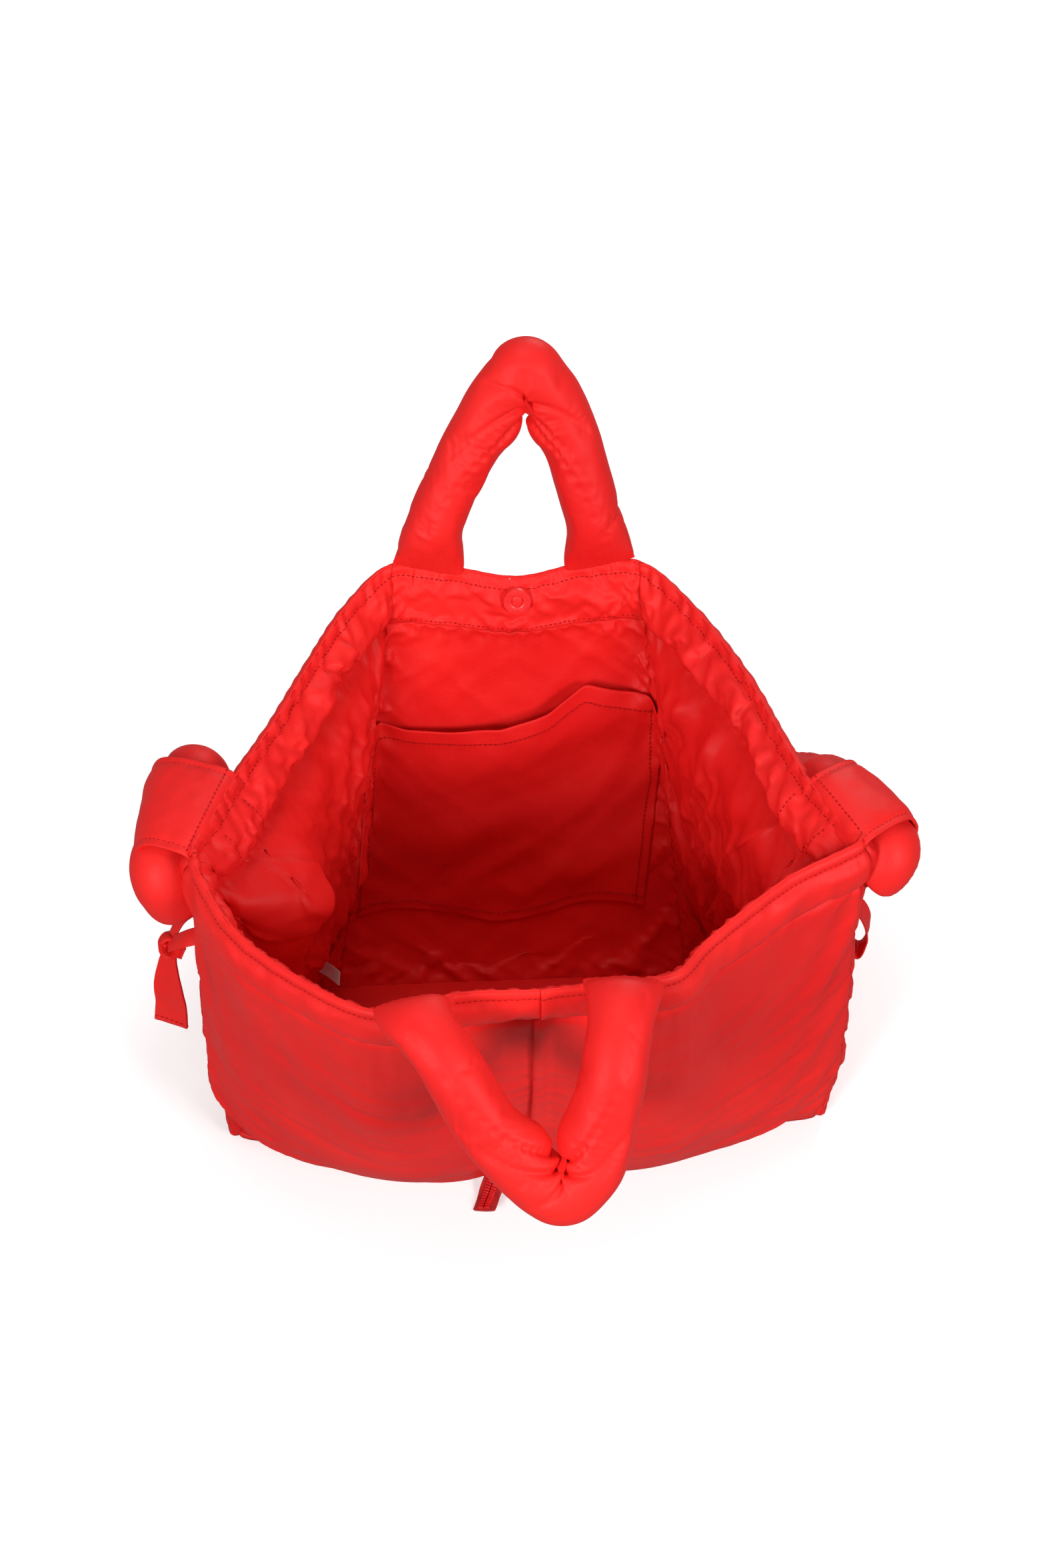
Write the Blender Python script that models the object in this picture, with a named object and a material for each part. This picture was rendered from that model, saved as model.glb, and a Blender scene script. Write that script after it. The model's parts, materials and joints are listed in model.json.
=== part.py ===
"""Padded nylon tote bag, open and standing: shell, lining, pocket, handles, loops, strap, ties and zip.

Units are metres, +Z is up and the front of the bag faces -Y. The bag's wall is a loft from a
rectangular base to a wider mouth. A place on it is given by u, v and inset: u counts stations round
the bag from the front seam, v runs from 0 on the floor to 1 at the mouth, and inset is the level
distance inwards from the outer skin.
"""

import math

import bmesh
import bpy
from mathutils import Matrix, Vector

# Driving dimensions of the bag
HEIGHT = 0.310
SHIFT_Y = -0.0194
HALF_OUTLINE = (
    # mouth x, mouth y, base x, base y, swell at mid height; from the front seam round to the back
    (0.000, -0.160, 0.000, -0.075, 0.000),
    (0.080, -0.160, 0.085, -0.075, 0.013),
    (0.145, -0.112, 0.155, -0.075, 0.015),
    (0.200, -0.055, 0.190, -0.057, 0.006),
    (0.188, -0.024, 0.195, -0.020, 0.000),
    (0.175, 0.008, 0.195, 0.020, 0.000),
    (0.135, 0.090, 0.183, 0.060, 0.000),
    (0.100, 0.155, 0.140, 0.075, 0.004),
    (0.080, 0.187, 0.085, 0.075, 0.008),
    (0.000, 0.187, 0.000, 0.075, 0.010),
)
BACK = len(HALF_OUTLINE) - 1
ROUND = 2 * BACK
CORNER = 3
BACK_SEAM = 8
U_STEP = 0.25
V_STEP = 0.125

# Layers of the wall, as distances inwards from the outer skin
GAP = 0.0004
PAD = 0.005
TAPE = (0.0054, 0.0062)
POCKET_BAG = (0.0080, 0.0092)
LINING = (0.0100, 0.0110)
FACING = (0.0116, 0.0130)
PATCH = 0.0012
BASE_PAD = 0.006
BASE_LINING = 0.001
FACING_HEIGHT = 0.038

# Slip pocket on the back lining
POCKET_U = (BACK - 1.25, BACK + 1.65)
POCKET_V = (0.17, 0.66)
POCKET_GAPE = 0.012

# Grab handles
HANDLE_RADIUS = 0.0210
HANDLE_ROOT = 0.0035
HANDLE_ARC = 0.030
HANDLE_RISE = 0.105
HANDLE_SLANT = math.radians(14.0)
SLEEVE = 0.0016
FILLING_GAP = 0.0024
PIVOT_RISE = 0.0045
PIVOT_INSET = 0.006
BACK_LEAN = math.radians(20.0)
FRONT_START = math.radians(-10.0)
FRONT_DROP = math.radians(72.7)
FRONT_BEND = 0.070

# Side loops and shoulder strap
LOOP_MIDDLE = Vector((0.1875, -0.026 + SHIFT_Y, 0.0))
LOOP_TURN = math.radians(18.0)
LOOP_WIDTH = 0.058
LOOP_REACH = 0.049
LOOP_TOP = 0.306
LOOP_DEPTH = 0.043
LOOP_CLOTH = 0.0022
LOOP_CLEAR = 0.0018
STRAP_RADIUS = 0.0160
STRAP_FULL = 0.0210
STRAP_DROP = math.radians(41.5)
STRAP_REACH = 0.390

# Zip in the front seam
SLIT_HALF = 0.0056
SLIT_V = (0.10, 0.84)
SLIT_TAPER = (0.0, 0.025, 0.05)
ZIP_V = (0.07, 0.86)
TAPE_WIDTH = 0.016
TEETH = (0.0026, 0.0050)
TEETH_WIDTH = 0.0026
SLIDER_V = 0.17

# Magnetic snap
SNAP_RADIUS = 0.009
SNAP_V = 0.945

RED = (0.78, 0.028, 0.03, 1.0)
DEEP_RED = (0.62, 0.02, 0.024, 1.0)


def clear_scene():
    for old in list(bpy.data.objects):
        bpy.data.objects.remove(old, do_unlink=True)


def make_collection(name):
    collection = bpy.data.collections.new(name)
    bpy.context.scene.collection.children.link(collection)
    return collection


def make_material(name, colour, roughness, metallic=0.0):
    material = bpy.data.materials.new(name)
    material.use_nodes = True
    shader = material.node_tree.nodes["Principled BSDF"]
    shader.inputs["Base Color"].default_value = colour
    shader.inputs["Roughness"].default_value = roughness
    shader.inputs["Metallic"].default_value = metallic
    return material


def make_object(name, bm, material, origin=None, smooth=True):
    """Turns the bmesh into a named object whose faces point out and whose origin is at `origin`."""
    bmesh.ops.recalc_face_normals(bm, faces=bm.faces)
    mesh = bpy.data.meshes.new(name)
    if origin is not None:
        bm.transform(Matrix.Translation(-Vector(origin)))
    bm.to_mesh(mesh)
    bm.free()
    mesh.materials.append(material)
    if smooth:
        mesh.shade_smooth()
        mesh.set_sharp_from_angle(angle=math.radians(40.0))
    obj = bpy.data.objects.new(name, mesh)
    if origin is not None:
        obj.location = origin
    PARTS.objects.link(obj)
    return obj


def ease(t):
    """Goes from 0 to 1 with level ends."""
    t = min(max(t, 0.0), 1.0)
    return t * t * (3.0 - 2.0 * t)


def spline(points, count):
    """Points along a Catmull-Rom curve through the given ones."""
    points = [Vector(p) for p in points]
    padded = [2 * points[0] - points[1], *points, 2 * points[-1] - points[-2]]
    spans = len(points) - 1
    result = []
    for i in range(count + 1):
        t = spans * i / count
        k = min(int(t), spans - 1)
        result.append(catmull(*padded[k : k + 4], t - k))
    return result


def catmull(a, b, c, d, t):
    return 0.5 * (2 * b + (c - a) * t + (2 * a - 5 * b + 4 * c - d) * t**2 + (3 * b - a - 3 * c + d) * t**3)


# The wall


def station(k):
    """One station of the outline as a vector pair: mouth point and base point, with the swell."""
    k %= ROUND
    side = 1.0 if k <= BACK else -1.0
    mouth_x, mouth_y, base_x, base_y, swell = HALF_OUTLINE[k if k <= BACK else ROUND - k]
    mouth = Vector((side * mouth_x, mouth_y + SHIFT_Y, swell))
    return mouth, Vector((side * base_x, base_y + SHIFT_Y, swell))


def skin(u, v):
    """The wall's ruled surface before its swell, with the swell in the third place."""
    k = math.floor(u)
    around = [station(k + i) for i in (-1, 0, 1, 2)]
    mouth = catmull(*[pair[0] for pair in around], u - k)
    base = catmull(*[pair[1] for pair in around], u - k)
    return base.lerp(mouth, v)


def outward(u, v):
    """The level direction that points away from the bag."""
    along = skin(u + 0.2, v) - skin(u - 0.2, v)
    return Vector((along.y, -along.x, 0.0)).normalized()


def wall(u, v, inset=0.0):
    point = skin(u, v)
    out = outward(u, v)
    swell = point.z * math.sin(math.pi * min(max(v, 0.0), 1.0))
    return Vector((point.x, point.y, v * HEIGHT)) + out * (swell - inset)


def shift_u(u, v, distance):
    """The u that lies `distance` along the wall from the given one."""
    step = 0.02
    length = (skin(u + step, v) - skin(u - step, v)).xy.length
    return u + 2 * step * distance / length


def closed_grid(bm, outer, inner):
    """Fills the space between two equal grids of points with one closed body."""
    rows, columns = len(outer), len(outer[0])
    skins = []
    for grid in (outer, inner):
        skins.append([[bm.verts.new(point) for point in row] for row in grid])
    for grid in skins:
        for i in range(rows - 1):
            for j in range(columns - 1):
                bm.faces.new((grid[i][j], grid[i][j + 1], grid[i + 1][j + 1], grid[i + 1][j]))
    rim = [(0, j) for j in range(columns)]
    rim += [(i, columns - 1) for i in range(1, rows)]
    rim += [(rows - 1, j) for j in range(columns - 2, -1, -1)]
    rim += [(i, 0) for i in range(rows - 2, 0, -1)]
    for (i, j), (m, n) in zip(rim, rim[1:] + rim[:1], strict=True):
        bm.faces.new((skins[0][i][j], skins[0][m][n], skins[1][m][n], skins[1][i][j]))


def lattice(span, step, extra=()):
    """The ends of a range with the shared grid lines between them, so that layers have matching facets."""
    first, last = math.ceil(span[0] / step + 0.2), math.floor(span[1] / step - 0.2)
    return sorted({span[0], span[1], *[i * step for i in range(first, last + 1)], *extra})


def panel(name, u_range, v_range, insets, material, start=None, end=None, extra_rows=()):
    """A piece of the wall. `start` and `end` give the gap to the neighbour at each side, as functions of v."""
    start = start or (lambda v: GAP)
    end = end or (lambda v: GAP)
    us = lattice(u_range, U_STEP)
    grids = []
    for inset in insets:
        grid = []
        for v in lattice(v_range, V_STEP, extra_rows):
            first = shift_u(u_range[0], v, start(v))
            last = shift_u(u_range[1], v, -end(v))
            grid.append([wall(u, v, inset) for u in (first, *us[1:-1], last)])
        grids.append(grid)
    bm = bmesh.new()
    closed_grid(bm, *grids)
    return make_object(name, bm, material)


def slab(name, inset, z_from, z_to, material):
    """A level plate that fills the wall's outline between two heights."""
    bm = bmesh.new()
    rings = []
    for z in (z_from, z_to):
        us = [i / 2 for i in range(2 * ROUND)]
        rings.append([bm.verts.new(wall(u, z / HEIGHT, inset)[:2] + (z,)) for u in us])
    for ring in rings:
        bm.faces.new(ring)
    for i in range(len(rings[0])):
        j = (i + 1) % len(rings[0])
        bm.faces.new((rings[0][i], rings[0][j], rings[1][j], rings[1][i]))
    return make_object(name, bm, material, smooth=False)


def slit_edge(v):
    """Distance from the centre line to the edge of a front half: it opens along the zip."""
    taper = SLIT_TAPER[-1]
    opening = ease((v - SLIT_V[0]) / taper + 1.0) * ease((SLIT_V[1] - v) / taper + 1.0)
    return GAP + (SLIT_HALF - GAP) * opening


def add_shell():
    pad = (0.0, PAD)
    full = (0.0, 1.0)
    ends = [SLIT_V[0] - step for step in SLIT_TAPER] + [SLIT_V[1] + step for step in SLIT_TAPER]
    front = ((0, CORNER), (ROUND - CORNER, ROUND))
    gusset = ((CORNER, BACK_SEAM), (ROUND - BACK_SEAM, ROUND - CORNER))
    panel("outer_front_right", front[0], full, pad, NYLON, start=slit_edge, extra_rows=ends)
    panel("outer_front_left", front[1], full, pad, NYLON, end=slit_edge, extra_rows=ends)
    panel("outer_back", (BACK_SEAM, ROUND - BACK_SEAM), full, pad, NYLON)
    for side, u_range in zip(("right", "left"), gusset, strict=True):
        panel(f"outer_gusset_{side}", u_range, full, pad, NYLON)
    slab("outer_base", PAD + GAP, 0.0, BASE_PAD, NYLON)


def add_inside(name, v_range, insets, material):
    """A layer that runs all round the inside in four pieces."""
    panel(f"{name}_front", (-CORNER, CORNER), v_range, insets, material)
    panel(f"{name}_back", (BACK_SEAM, ROUND - BACK_SEAM), v_range, insets, material)
    panel(f"{name}_right", (CORNER, BACK_SEAM), v_range, insets, material)
    panel(f"{name}_left", (ROUND - BACK_SEAM, ROUND - CORNER), v_range, insets, material)


def add_lining_and_facings():
    floor = BASE_PAD + GAP
    add_inside("lining", (floor / HEIGHT, 1.0), LINING, LINING_CLOTH)
    slab("lining_base", LINING[1] + 2 * GAP, floor, floor + BASE_LINING, LINING_CLOTH)
    add_inside("facing", (1.0 - FACING_HEIGHT / HEIGHT, 1.0), FACING, NYLON)


def add_slip_pocket():
    """A patch sewn on at its sides and bottom, whose top edge stands off the lining."""
    grids = []
    for thickness in (0.0, PATCH):
        grid = []
        for v in lattice(POCKET_V, V_STEP):
            row = []
            for u in lattice(POCKET_U, U_STEP):
                across = (u - POCKET_U[0]) / (POCKET_U[1] - POCKET_U[0])
                height = (v - POCKET_V[0]) / (POCKET_V[1] - POCKET_V[0])
                gape = POCKET_GAPE * math.sin(math.pi * across) * height
                row.append(wall(u, v, FACING[0] + thickness + gape))
            grid.append(row)
        grids.append(grid)
    bm = bmesh.new()
    closed_grid(bm, *grids)
    make_object("slip_pocket", bm, LINING_CLOTH)


def add_care_label():
    """A small blank tab that hangs from the left gusset seam near the base."""
    u = ROUND - BACK_SEAM + 1.0
    clear = LINING[1] + 0.003
    grids = []
    for depth in (clear, clear + 0.0006):
        rows = []
        for v in (0.10, 0.15, 0.20):
            rows.append([wall(u + 0.35 * j / 2, v, depth) for j in range(3)])
        grids.append(rows)
    bm = bmesh.new()
    closed_grid(bm, *grids)
    make_object("care_label", bm, LABEL)


# The snap


def disc(name, centre, axis, radius, thickness, material, hole=0.0, sides=24):
    """A disc that starts at `centre` and is `thickness` thick along `axis`. `hole` is a central recess's radius."""
    bm = bmesh.new()
    profile = [(0.0, 0.0), (radius, 0.0), (radius, 0.75 * thickness), (0.92 * radius, thickness)]
    if hole:
        profile += [(hole, thickness), (hole, 0.6 * thickness), (0.0, 0.6 * thickness)]
    else:
        profile += [(0.0, thickness)]
    rings = []
    for r, height in profile:
        if r == 0.0:
            rings.append([bm.verts.new((0.0, 0.0, height))])
            continue
        angles = [2 * math.pi * i / sides for i in range(sides)]
        rings.append([bm.verts.new((r * math.cos(a), r * math.sin(a), height)) for a in angles])
    for low, high in zip(rings, rings[1:], strict=False):
        for i in range(sides):
            j = (i + 1) % sides
            corners = (low[i % len(low)], low[j % len(low)], high[j % len(high)], high[i % len(high)])
            bm.faces.new(dict.fromkeys(corners))
    turn = Vector((0.0, 0.0, 1.0)).rotation_difference(Vector(axis).normalized())
    bm.transform(turn.to_matrix().to_4x4())
    make_object(name, bm, material, smooth=False).location = centre


def wall_normal(u, v):
    """The true outward normal of the wall, which leans."""
    up = wall(u, v + 0.01) - wall(u, v - 0.01)
    along = wall(u + 0.05, v) - wall(u - 0.05, v)
    return along.cross(up).normalized()


def add_snap():
    for side, u in (("back", BACK), ("front", 0)):
        inwards = -wall_normal(u, SNAP_V)
        face = wall(u, SNAP_V, FACING[1] + GAP + 0.0008)
        disc(f"snap_disc_{side}", face, inwards, SNAP_RADIUS, 0.0026, PAINTED, hole=0.004)
        disc(f"snap_magnet_{side}", face + 0.0018 * inwards, inwards, 0.0036, 0.0005, STEEL)
        hidden = wall(u, SNAP_V, PAD + GAP + 0.0008)
        disc(f"snap_washer_{side}", hidden, inwards, 0.010, 0.0008, STEEL)


# Swept pieces


def section(centre, across, normal, half_width, half_height, sides=12):
    """An oval ring of points round `centre`."""
    angles = [2 * math.pi * i / sides for i in range(sides)]
    return [centre + across * half_width * math.cos(a) + normal * half_height * math.sin(a) for a in angles]


def closed_sweep(bm, outer, inner=None):
    """Skins the rings into one closed body: solid with flat ends, or a sleeve when `inner` rings are given."""
    rings = [[bm.verts.new(point) for point in ring] for ring in outer]
    sides = len(rings[0])
    if inner:
        rings += [[bm.verts.new(point) for point in ring] for ring in reversed(inner)]
        rings.append(rings[0])
    else:
        bm.faces.new(rings[0])
        bm.faces.new(rings[-1])
    for low, high in zip(rings, rings[1:], strict=False):
        for i in range(sides):
            j = (i + 1) % sides
            bm.faces.new((low[i], low[j], high[j], high[i]))


def handle_path(count=24):
    """(across, along) points of a handle laid flat: up one leg, round the arc and down the other."""
    arc_x = HANDLE_ARC * math.cos(HANDLE_SLANT)
    arc_s = HANDLE_RISE + HANDLE_ARC * math.sin(HANDLE_SLANT)
    foot_x = arc_x + math.tan(HANDLE_SLANT) * arc_s
    leg = math.hypot(foot_x - arc_x, arc_s)
    arc = HANDLE_ARC * (math.pi - 2 * HANDLE_SLANT)
    points = []
    for i in range(count + 1):
        d = (2 * leg + arc) * i / count
        mirrored = 1.0
        if d > leg + arc / 2:
            d = 2 * leg + arc - d
            mirrored = -1.0
        if d <= leg:
            x, s = foot_x + (arc_x - foot_x) * d / leg, arc_s * d / leg
        else:
            angle = HANDLE_SLANT + (d - leg) / HANDLE_ARC
            x, s = HANDLE_ARC * math.cos(angle), HANDLE_RISE + HANDLE_ARC * math.sin(angle)
        points.append((mirrored * x, s))
    return points


def handle_sheet(s, start, end, bend):
    """How far out and how far down a point `s` along a bent sheet lies, and the sheet's angle there."""
    if bend == 0.0 or start == end:
        return s * math.cos(start), s * math.sin(start), start
    rate = (end - start) / bend
    inside = min(s, bend)
    angle = start + rate * inside
    out = (math.sin(angle) - math.sin(start)) / rate
    down = (math.cos(start) - math.cos(angle)) / rate
    rest = max(s - bend, 0.0)
    return out + rest * math.cos(angle), down + rest * math.sin(angle), angle


def handle_rings(pivot, facing, start, end, bend, shrink):
    """Rings of a handle whose sheet leaves the pivot towards `facing` in Y. `shrink` thins it all round."""
    path = handle_path()
    rings = []
    for i, (x, s) in enumerate(path):
        before = path[max(i - 1, 0)]
        after = path[min(i + 1, len(path) - 1)]
        flat = Vector((after[0] - before[0], after[1] - before[1])).normalized()
        out, down, angle = handle_sheet(s, start, end, bend)
        centre = pivot + Vector((x, facing * out, -down))
        along = Vector((0.0, facing * math.cos(angle), -math.sin(angle)))
        normal = Vector((0.0, facing * math.sin(angle), math.cos(angle)))
        turned = Vector((1.0, 0.0, 0.0)) * abs(flat.y) - along * flat.x * math.copysign(1.0, flat.y or 1.0)
        level = Vector((1.0, 0.0, 0.0))
        free = ease((s - 0.004) / 0.030)
        across = level.lerp(turned.normalized(), free).normalized()
        if i > len(path) // 2:
            across = -across
        half_height = HANDLE_ROOT + (HANDLE_RADIUS - HANDLE_ROOT) * ease((s - 0.006) / 0.040)
        rings.append(section(centre, across, normal, HANDLE_RADIUS - shrink, half_height - shrink))
    return rings


def add_handle(name, u, facing, start, end, bend):
    pivot = wall(u, 1.0, PIVOT_INSET) + Vector((0.0, 0.0, PIVOT_RISE))
    pivot.x = 0.0
    outer = handle_rings(pivot, facing, start, end, bend, 0.0)
    inner = handle_rings(pivot, facing, start, end, bend, SLEEVE)
    bm = bmesh.new()
    closed_sweep(bm, outer, inner)
    make_object(f"{name}_sleeve", bm, NYLON, origin=pivot)
    core = handle_rings(pivot, facing, start, end, bend, SLEEVE + FILLING_GAP)[2:-2]
    bm = bmesh.new()
    closed_sweep(bm, core)
    make_object(f"{name}_filling", bm, FILLING, origin=pivot)


def add_handles():
    upright = math.pi / 2 - BACK_LEAN
    add_handle("handle_back", BACK, 1.0, -upright, -upright, 0.0)
    add_handle("handle_front", 0, -1.0, FRONT_START, FRONT_DROP, FRONT_BEND)


# Side loops and strap


def loop_axes(side):
    """Directions of a side loop: along its tunnel towards the front, and away from the bag."""
    along = Vector((side * math.sin(LOOP_TURN), -math.cos(LOOP_TURN), 0.0))
    away = Vector((side * math.cos(LOOP_TURN), math.sin(LOOP_TURN), 0.0))
    return along, away


def loop_middle(side):
    return Vector((side * LOOP_MIDDLE.x, LOOP_MIDDLE.y, 0.0))


def wall_reach(side, offset, z):
    """How far the gusset stands out, measured like a loop's profile, at an offset along the loop."""
    along, away = loop_axes(side)
    nearest = []
    for i in range(60):
        u = CORNER - 0.3 + 3.0 * i / 60
        point = wall(u if side > 0 else ROUND - u, z / HEIGHT) - loop_middle(side)
        nearest.append((abs(point.dot(along) - offset), point.dot(away)))
    return min(nearest)[1]


def loop_profile(side, offset):
    """(away, z) points of a loop from the hem, round its outer end and back to the gusset."""
    radius = LOOP_DEPTH / 2
    points = [(wall_reach(side, offset, LOOP_TOP) + LOOP_CLEAR, LOOP_TOP)]
    for i in range(9):
        angle = math.pi / 2 - math.pi * i / 8
        away = LOOP_REACH - radius + radius * math.cos(angle)
        points.append((away, LOOP_TOP - radius + radius * math.sin(angle)))
    bottom = LOOP_TOP - LOOP_DEPTH
    points.append((wall_reach(side, offset, bottom) + LOOP_CLEAR, bottom))
    return points


def add_side_loop(name, side):
    """A flat band that leaves the hem, turns round the strap and comes back to the gusset."""
    along, away = loop_axes(side)
    offsets = [LOOP_WIDTH * (i / 6 - 0.5) for i in range(7)]
    profiles = [loop_profile(side, offset) for offset in offsets]
    outer, inner = [], []
    for i in range(len(profiles[0])):
        rows = ([], [])
        for offset, profile in zip(offsets, profiles, strict=True):
            before = Vector(profile[max(i - 1, 0)])
            after = Vector(profile[min(i + 1, len(profile) - 1)])
            direction = (after - before).normalized()
            normal = away * -direction.y + Vector((0.0, 0.0, direction.x))
            reach, z = profile[i]
            point = loop_middle(side) + along * offset + away * reach + Vector((0.0, 0.0, z))
            rows[0].append(point)
            rows[1].append(point - normal * LOOP_CLOTH)
        outer.append(rows[0])
        inner.append(rows[1])
    bm = bmesh.new()
    closed_grid(bm, outer, inner)
    make_object(name, bm, NYLON)


def strap_half(side):
    """The strap's centre line from its short front end, through the loop, to the middle behind the bag."""
    along, away = loop_axes(side)
    tunnel = loop_middle(side) + away * (LOOP_REACH / 2 + 0.001)
    tunnel.z = LOOP_TOP - LOOP_DEPTH / 2
    points = [tunnel + along * 0.060 + Vector((0.0, 0.0, -0.020))]
    for reach, shift in ((0.038, 0.0), (0.0, 0.0), (-0.024, 0.001), (-0.046, 0.008)):
        points.append(tunnel + along * reach + away * shift)
    for x, reach in ((0.208, 0.088), (0.196, 0.160), (0.168, 0.250), (0.112, 0.335), (0.052, 0.380)):
        y = LOOP_MIDDLE.y + reach * math.cos(STRAP_DROP)
        points.append(Vector((side * x, y, tunnel.z - reach * math.sin(STRAP_DROP))))
    return points


def add_strap():
    middle = Vector((0.0, LOOP_MIDDLE.y, LOOP_TOP - LOOP_DEPTH / 2))
    far = middle + STRAP_REACH * Vector((0.0, math.cos(STRAP_DROP), -math.sin(STRAP_DROP)))
    route = spline([*strap_half(1), far, *reversed(strap_half(-1))], 84)
    rings = []
    for i, centre in enumerate(route):
        tangent = (route[min(i + 1, len(route) - 1)] - route[max(i - 1, 0)]).normalized()
        across = tangent.cross(Vector((0.0, 0.0, 1.0))).normalized()
        normal = across.cross(tangent)
        ends = min(i, len(route) - 1 - i)
        full = ease((ends - 21) / 4) + ease((5 - ends) / 3)
        radius = STRAP_RADIUS + (STRAP_FULL - STRAP_RADIUS) * full
        if ends < 2:
            radius *= 0.55 + 0.25 * ends
        rings.append(section(centre, across, normal, radius, radius))
    bm = bmesh.new()
    closed_sweep(bm, rings)
    make_object("shoulder_strap", bm, NYLON, origin=middle)


# Ribbon ties


def ribbon(name, points, width_direction, width, thickness, material, origin, count=10):
    """A flat strip along a curve through the points."""
    route = spline(points, count)
    outer, inner = [], []
    for i, centre in enumerate(route):
        tangent = (route[min(i + 1, count)] - route[max(i - 1, 0)]).normalized()
        across = (width_direction - tangent * width_direction.dot(tangent)).normalized()
        normal = across.cross(tangent)
        sides = (centre - across * width / 2, centre + across * width / 2)
        outer.append([point + normal * thickness / 2 for point in sides])
        inner.append([point - normal * thickness / 2 for point in sides])
    bm = bmesh.new()
    closed_grid(bm, outer, inner)
    return make_object(name, bm, material, origin=origin)


def add_ties():
    """Left: two ribbons meet in a knot above a hanging tail. Right: one folded ribbon."""
    level = Vector((0.0, 1.0, 0.0))
    for side, name in ((-1.0, "left"), (1.0, "right")):
        pivot = Vector((side * 0.202, -0.022 + SHIFT_Y, 0.205))
        tip = pivot + Vector((side * 0.016, 0.0, -0.022))
        if name == "left":
            for end, offset in (("front", -0.011), ("back", 0.011)):
                start = pivot + Vector((0.0, offset, 0.0))
                bend = start.lerp(tip, 0.5) + Vector((side * 0.003, 0.0, 0.002))
                stop = tip + Vector((-side * 0.002, 0.3 * offset, 0.0075))
                ribbon(f"tie_left_{end}", (start, bend, stop), level, 0.006, 0.0016, NYLON, pivot, 6)
            add_knot("tie_left_knot", tip, pivot)
            drop = (
                tip + Vector((0.0, 0.0, -0.0065)),
                tip + Vector((side * 0.003, -0.002, -0.028)),
                tip + Vector((side * 0.001, -0.003, -0.050)),
            )
            ribbon("tie_left_tail", drop, level, 0.020, 0.0016, NYLON, pivot, 8)
        else:
            loop = (
                pivot,
                pivot + Vector((side * 0.009, 0.0, -0.012)),
                pivot + Vector((side * 0.010, 0.0, -0.032)),
                pivot + Vector((side * 0.004, 0.0, -0.044)),
                pivot + Vector((side * 0.0015, 0.0, -0.034)),
                pivot + Vector((side * 0.0040, 0.0, -0.015)),
            )
            ribbon("tie_right_loop", loop, level, 0.014, 0.0016, NYLON, pivot, 16)


def add_knot(name, centre, origin):
    bm = bmesh.new()
    bmesh.ops.create_icosphere(bm, subdivisions=2, radius=0.0062)
    bm.transform(Matrix.Translation(centre))
    make_object(name, bm, NYLON, origin=origin)


# The zip


def zip_strip(name, side, near, far, v_range, insets, material):
    """A strip beside the centre line, between two distances from it."""
    grids = []
    for inset in insets:
        rows = []
        for i in range(3):
            v = v_range[0] + (v_range[1] - v_range[0]) * i / 2
            rows.append([wall(0, v, inset) + Vector((side * x, 0.0, 0.0)) for x in (near, far)])
        grids.append(rows)
    bm = bmesh.new()
    closed_grid(bm, *grids)
    return make_object(name, bm, material, smooth=False)


def zip_block(name, v, half_width, length, insets, material, origin=None):
    """A small block across the centre line."""
    reach = length / 2 / HEIGHT
    grids = []
    for inset in insets:
        rows = []
        for end in (v - reach, v + reach):
            rows.append([wall(0, end, inset) + Vector((x, 0.0, 0.0)) for x in (-half_width, half_width)])
        grids.append(rows)
    bm = bmesh.new()
    closed_grid(bm, *grids)
    return make_object(name, bm, material, origin=origin, smooth=False)


def add_zip():
    for side, name in ((-1.0, "left"), (1.0, "right")):
        zip_strip(f"zip_tape_{name}", side, 0.0004, TAPE_WIDTH, ZIP_V, TAPE, TAPE_CLOTH)
        span = (SLIT_V[0] + 0.015, SLIT_V[1] - 0.012)
        zip_strip(f"zip_teeth_{name}", side, 0.0003, TEETH_WIDTH, span, TEETH, PLASTIC)
    zip_block("zip_stop_top", SLIT_V[1] - 0.004, 0.0026, 0.003, TEETH, PLASTIC)
    zip_block("zip_stop_bottom", SLIT_V[0] + 0.006, 0.0026, 0.003, TEETH, PLASTIC)
    pivot = wall(0, SLIDER_V + 0.012, -0.0022)
    zip_block("zip_slider", SLIDER_V, 0.0048, 0.012, (-0.0010, 0.0022), PLASTIC)
    zip_block("zip_puller", SLIDER_V - 0.030, 0.0032, 0.026, (-0.0034, -0.0016), PLASTIC, origin=pivot)
    panel("zip_pocket_bag", (-0.85, 0.85), (0.08, 0.85), POCKET_BAG, LINING_CLOTH)
    add_zip_tail()


def add_zip_tail():
    """The end of the zip that hangs out under the front edge and lies on the floor."""
    start = wall(0, 0.0) + Vector((-0.019, -0.0075, 0.013))
    points = (
        start,
        start + Vector((-0.003, -0.012, -0.004)),
        start + Vector((-0.007, -0.026, -0.0095)),
        start + Vector((-0.010, -0.038, -0.0105)),
    )
    across = Vector((1.0, -0.25, 0.0)).normalized()
    ribbon("zip_tail", points, across, 0.011, 0.0026, TAPE_CLOTH, None, 8)


clear_scene()
PARTS = make_collection("Puffer tote bag")
NYLON = make_material("padded_nylon", RED, 0.5)
LINING_CLOTH = make_material("lining_nylon", DEEP_RED, 0.55)
FILLING = make_material("filling", (0.85, 0.85, 0.83, 1.0), 0.9)
TAPE_CLOTH = make_material("zip_tape", DEEP_RED, 0.7)
PLASTIC = make_material("zip_plastic", RED, 0.35)
PAINTED = make_material("painted_snap", RED, 0.4)
STEEL = make_material("steel", (0.55, 0.55, 0.56, 1.0), 0.35, 1.0)
LABEL = make_material("blank_label", (0.9, 0.9, 0.88, 1.0), 0.8)

add_shell()
add_lining_and_facings()
add_slip_pocket()
add_care_label()
add_snap()
add_handles()
add_side_loop("side_loop_right", 1.0)
add_side_loop("side_loop_left", -1.0)
add_strap()
add_ties()
add_zip()
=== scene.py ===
import json
import math

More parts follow.
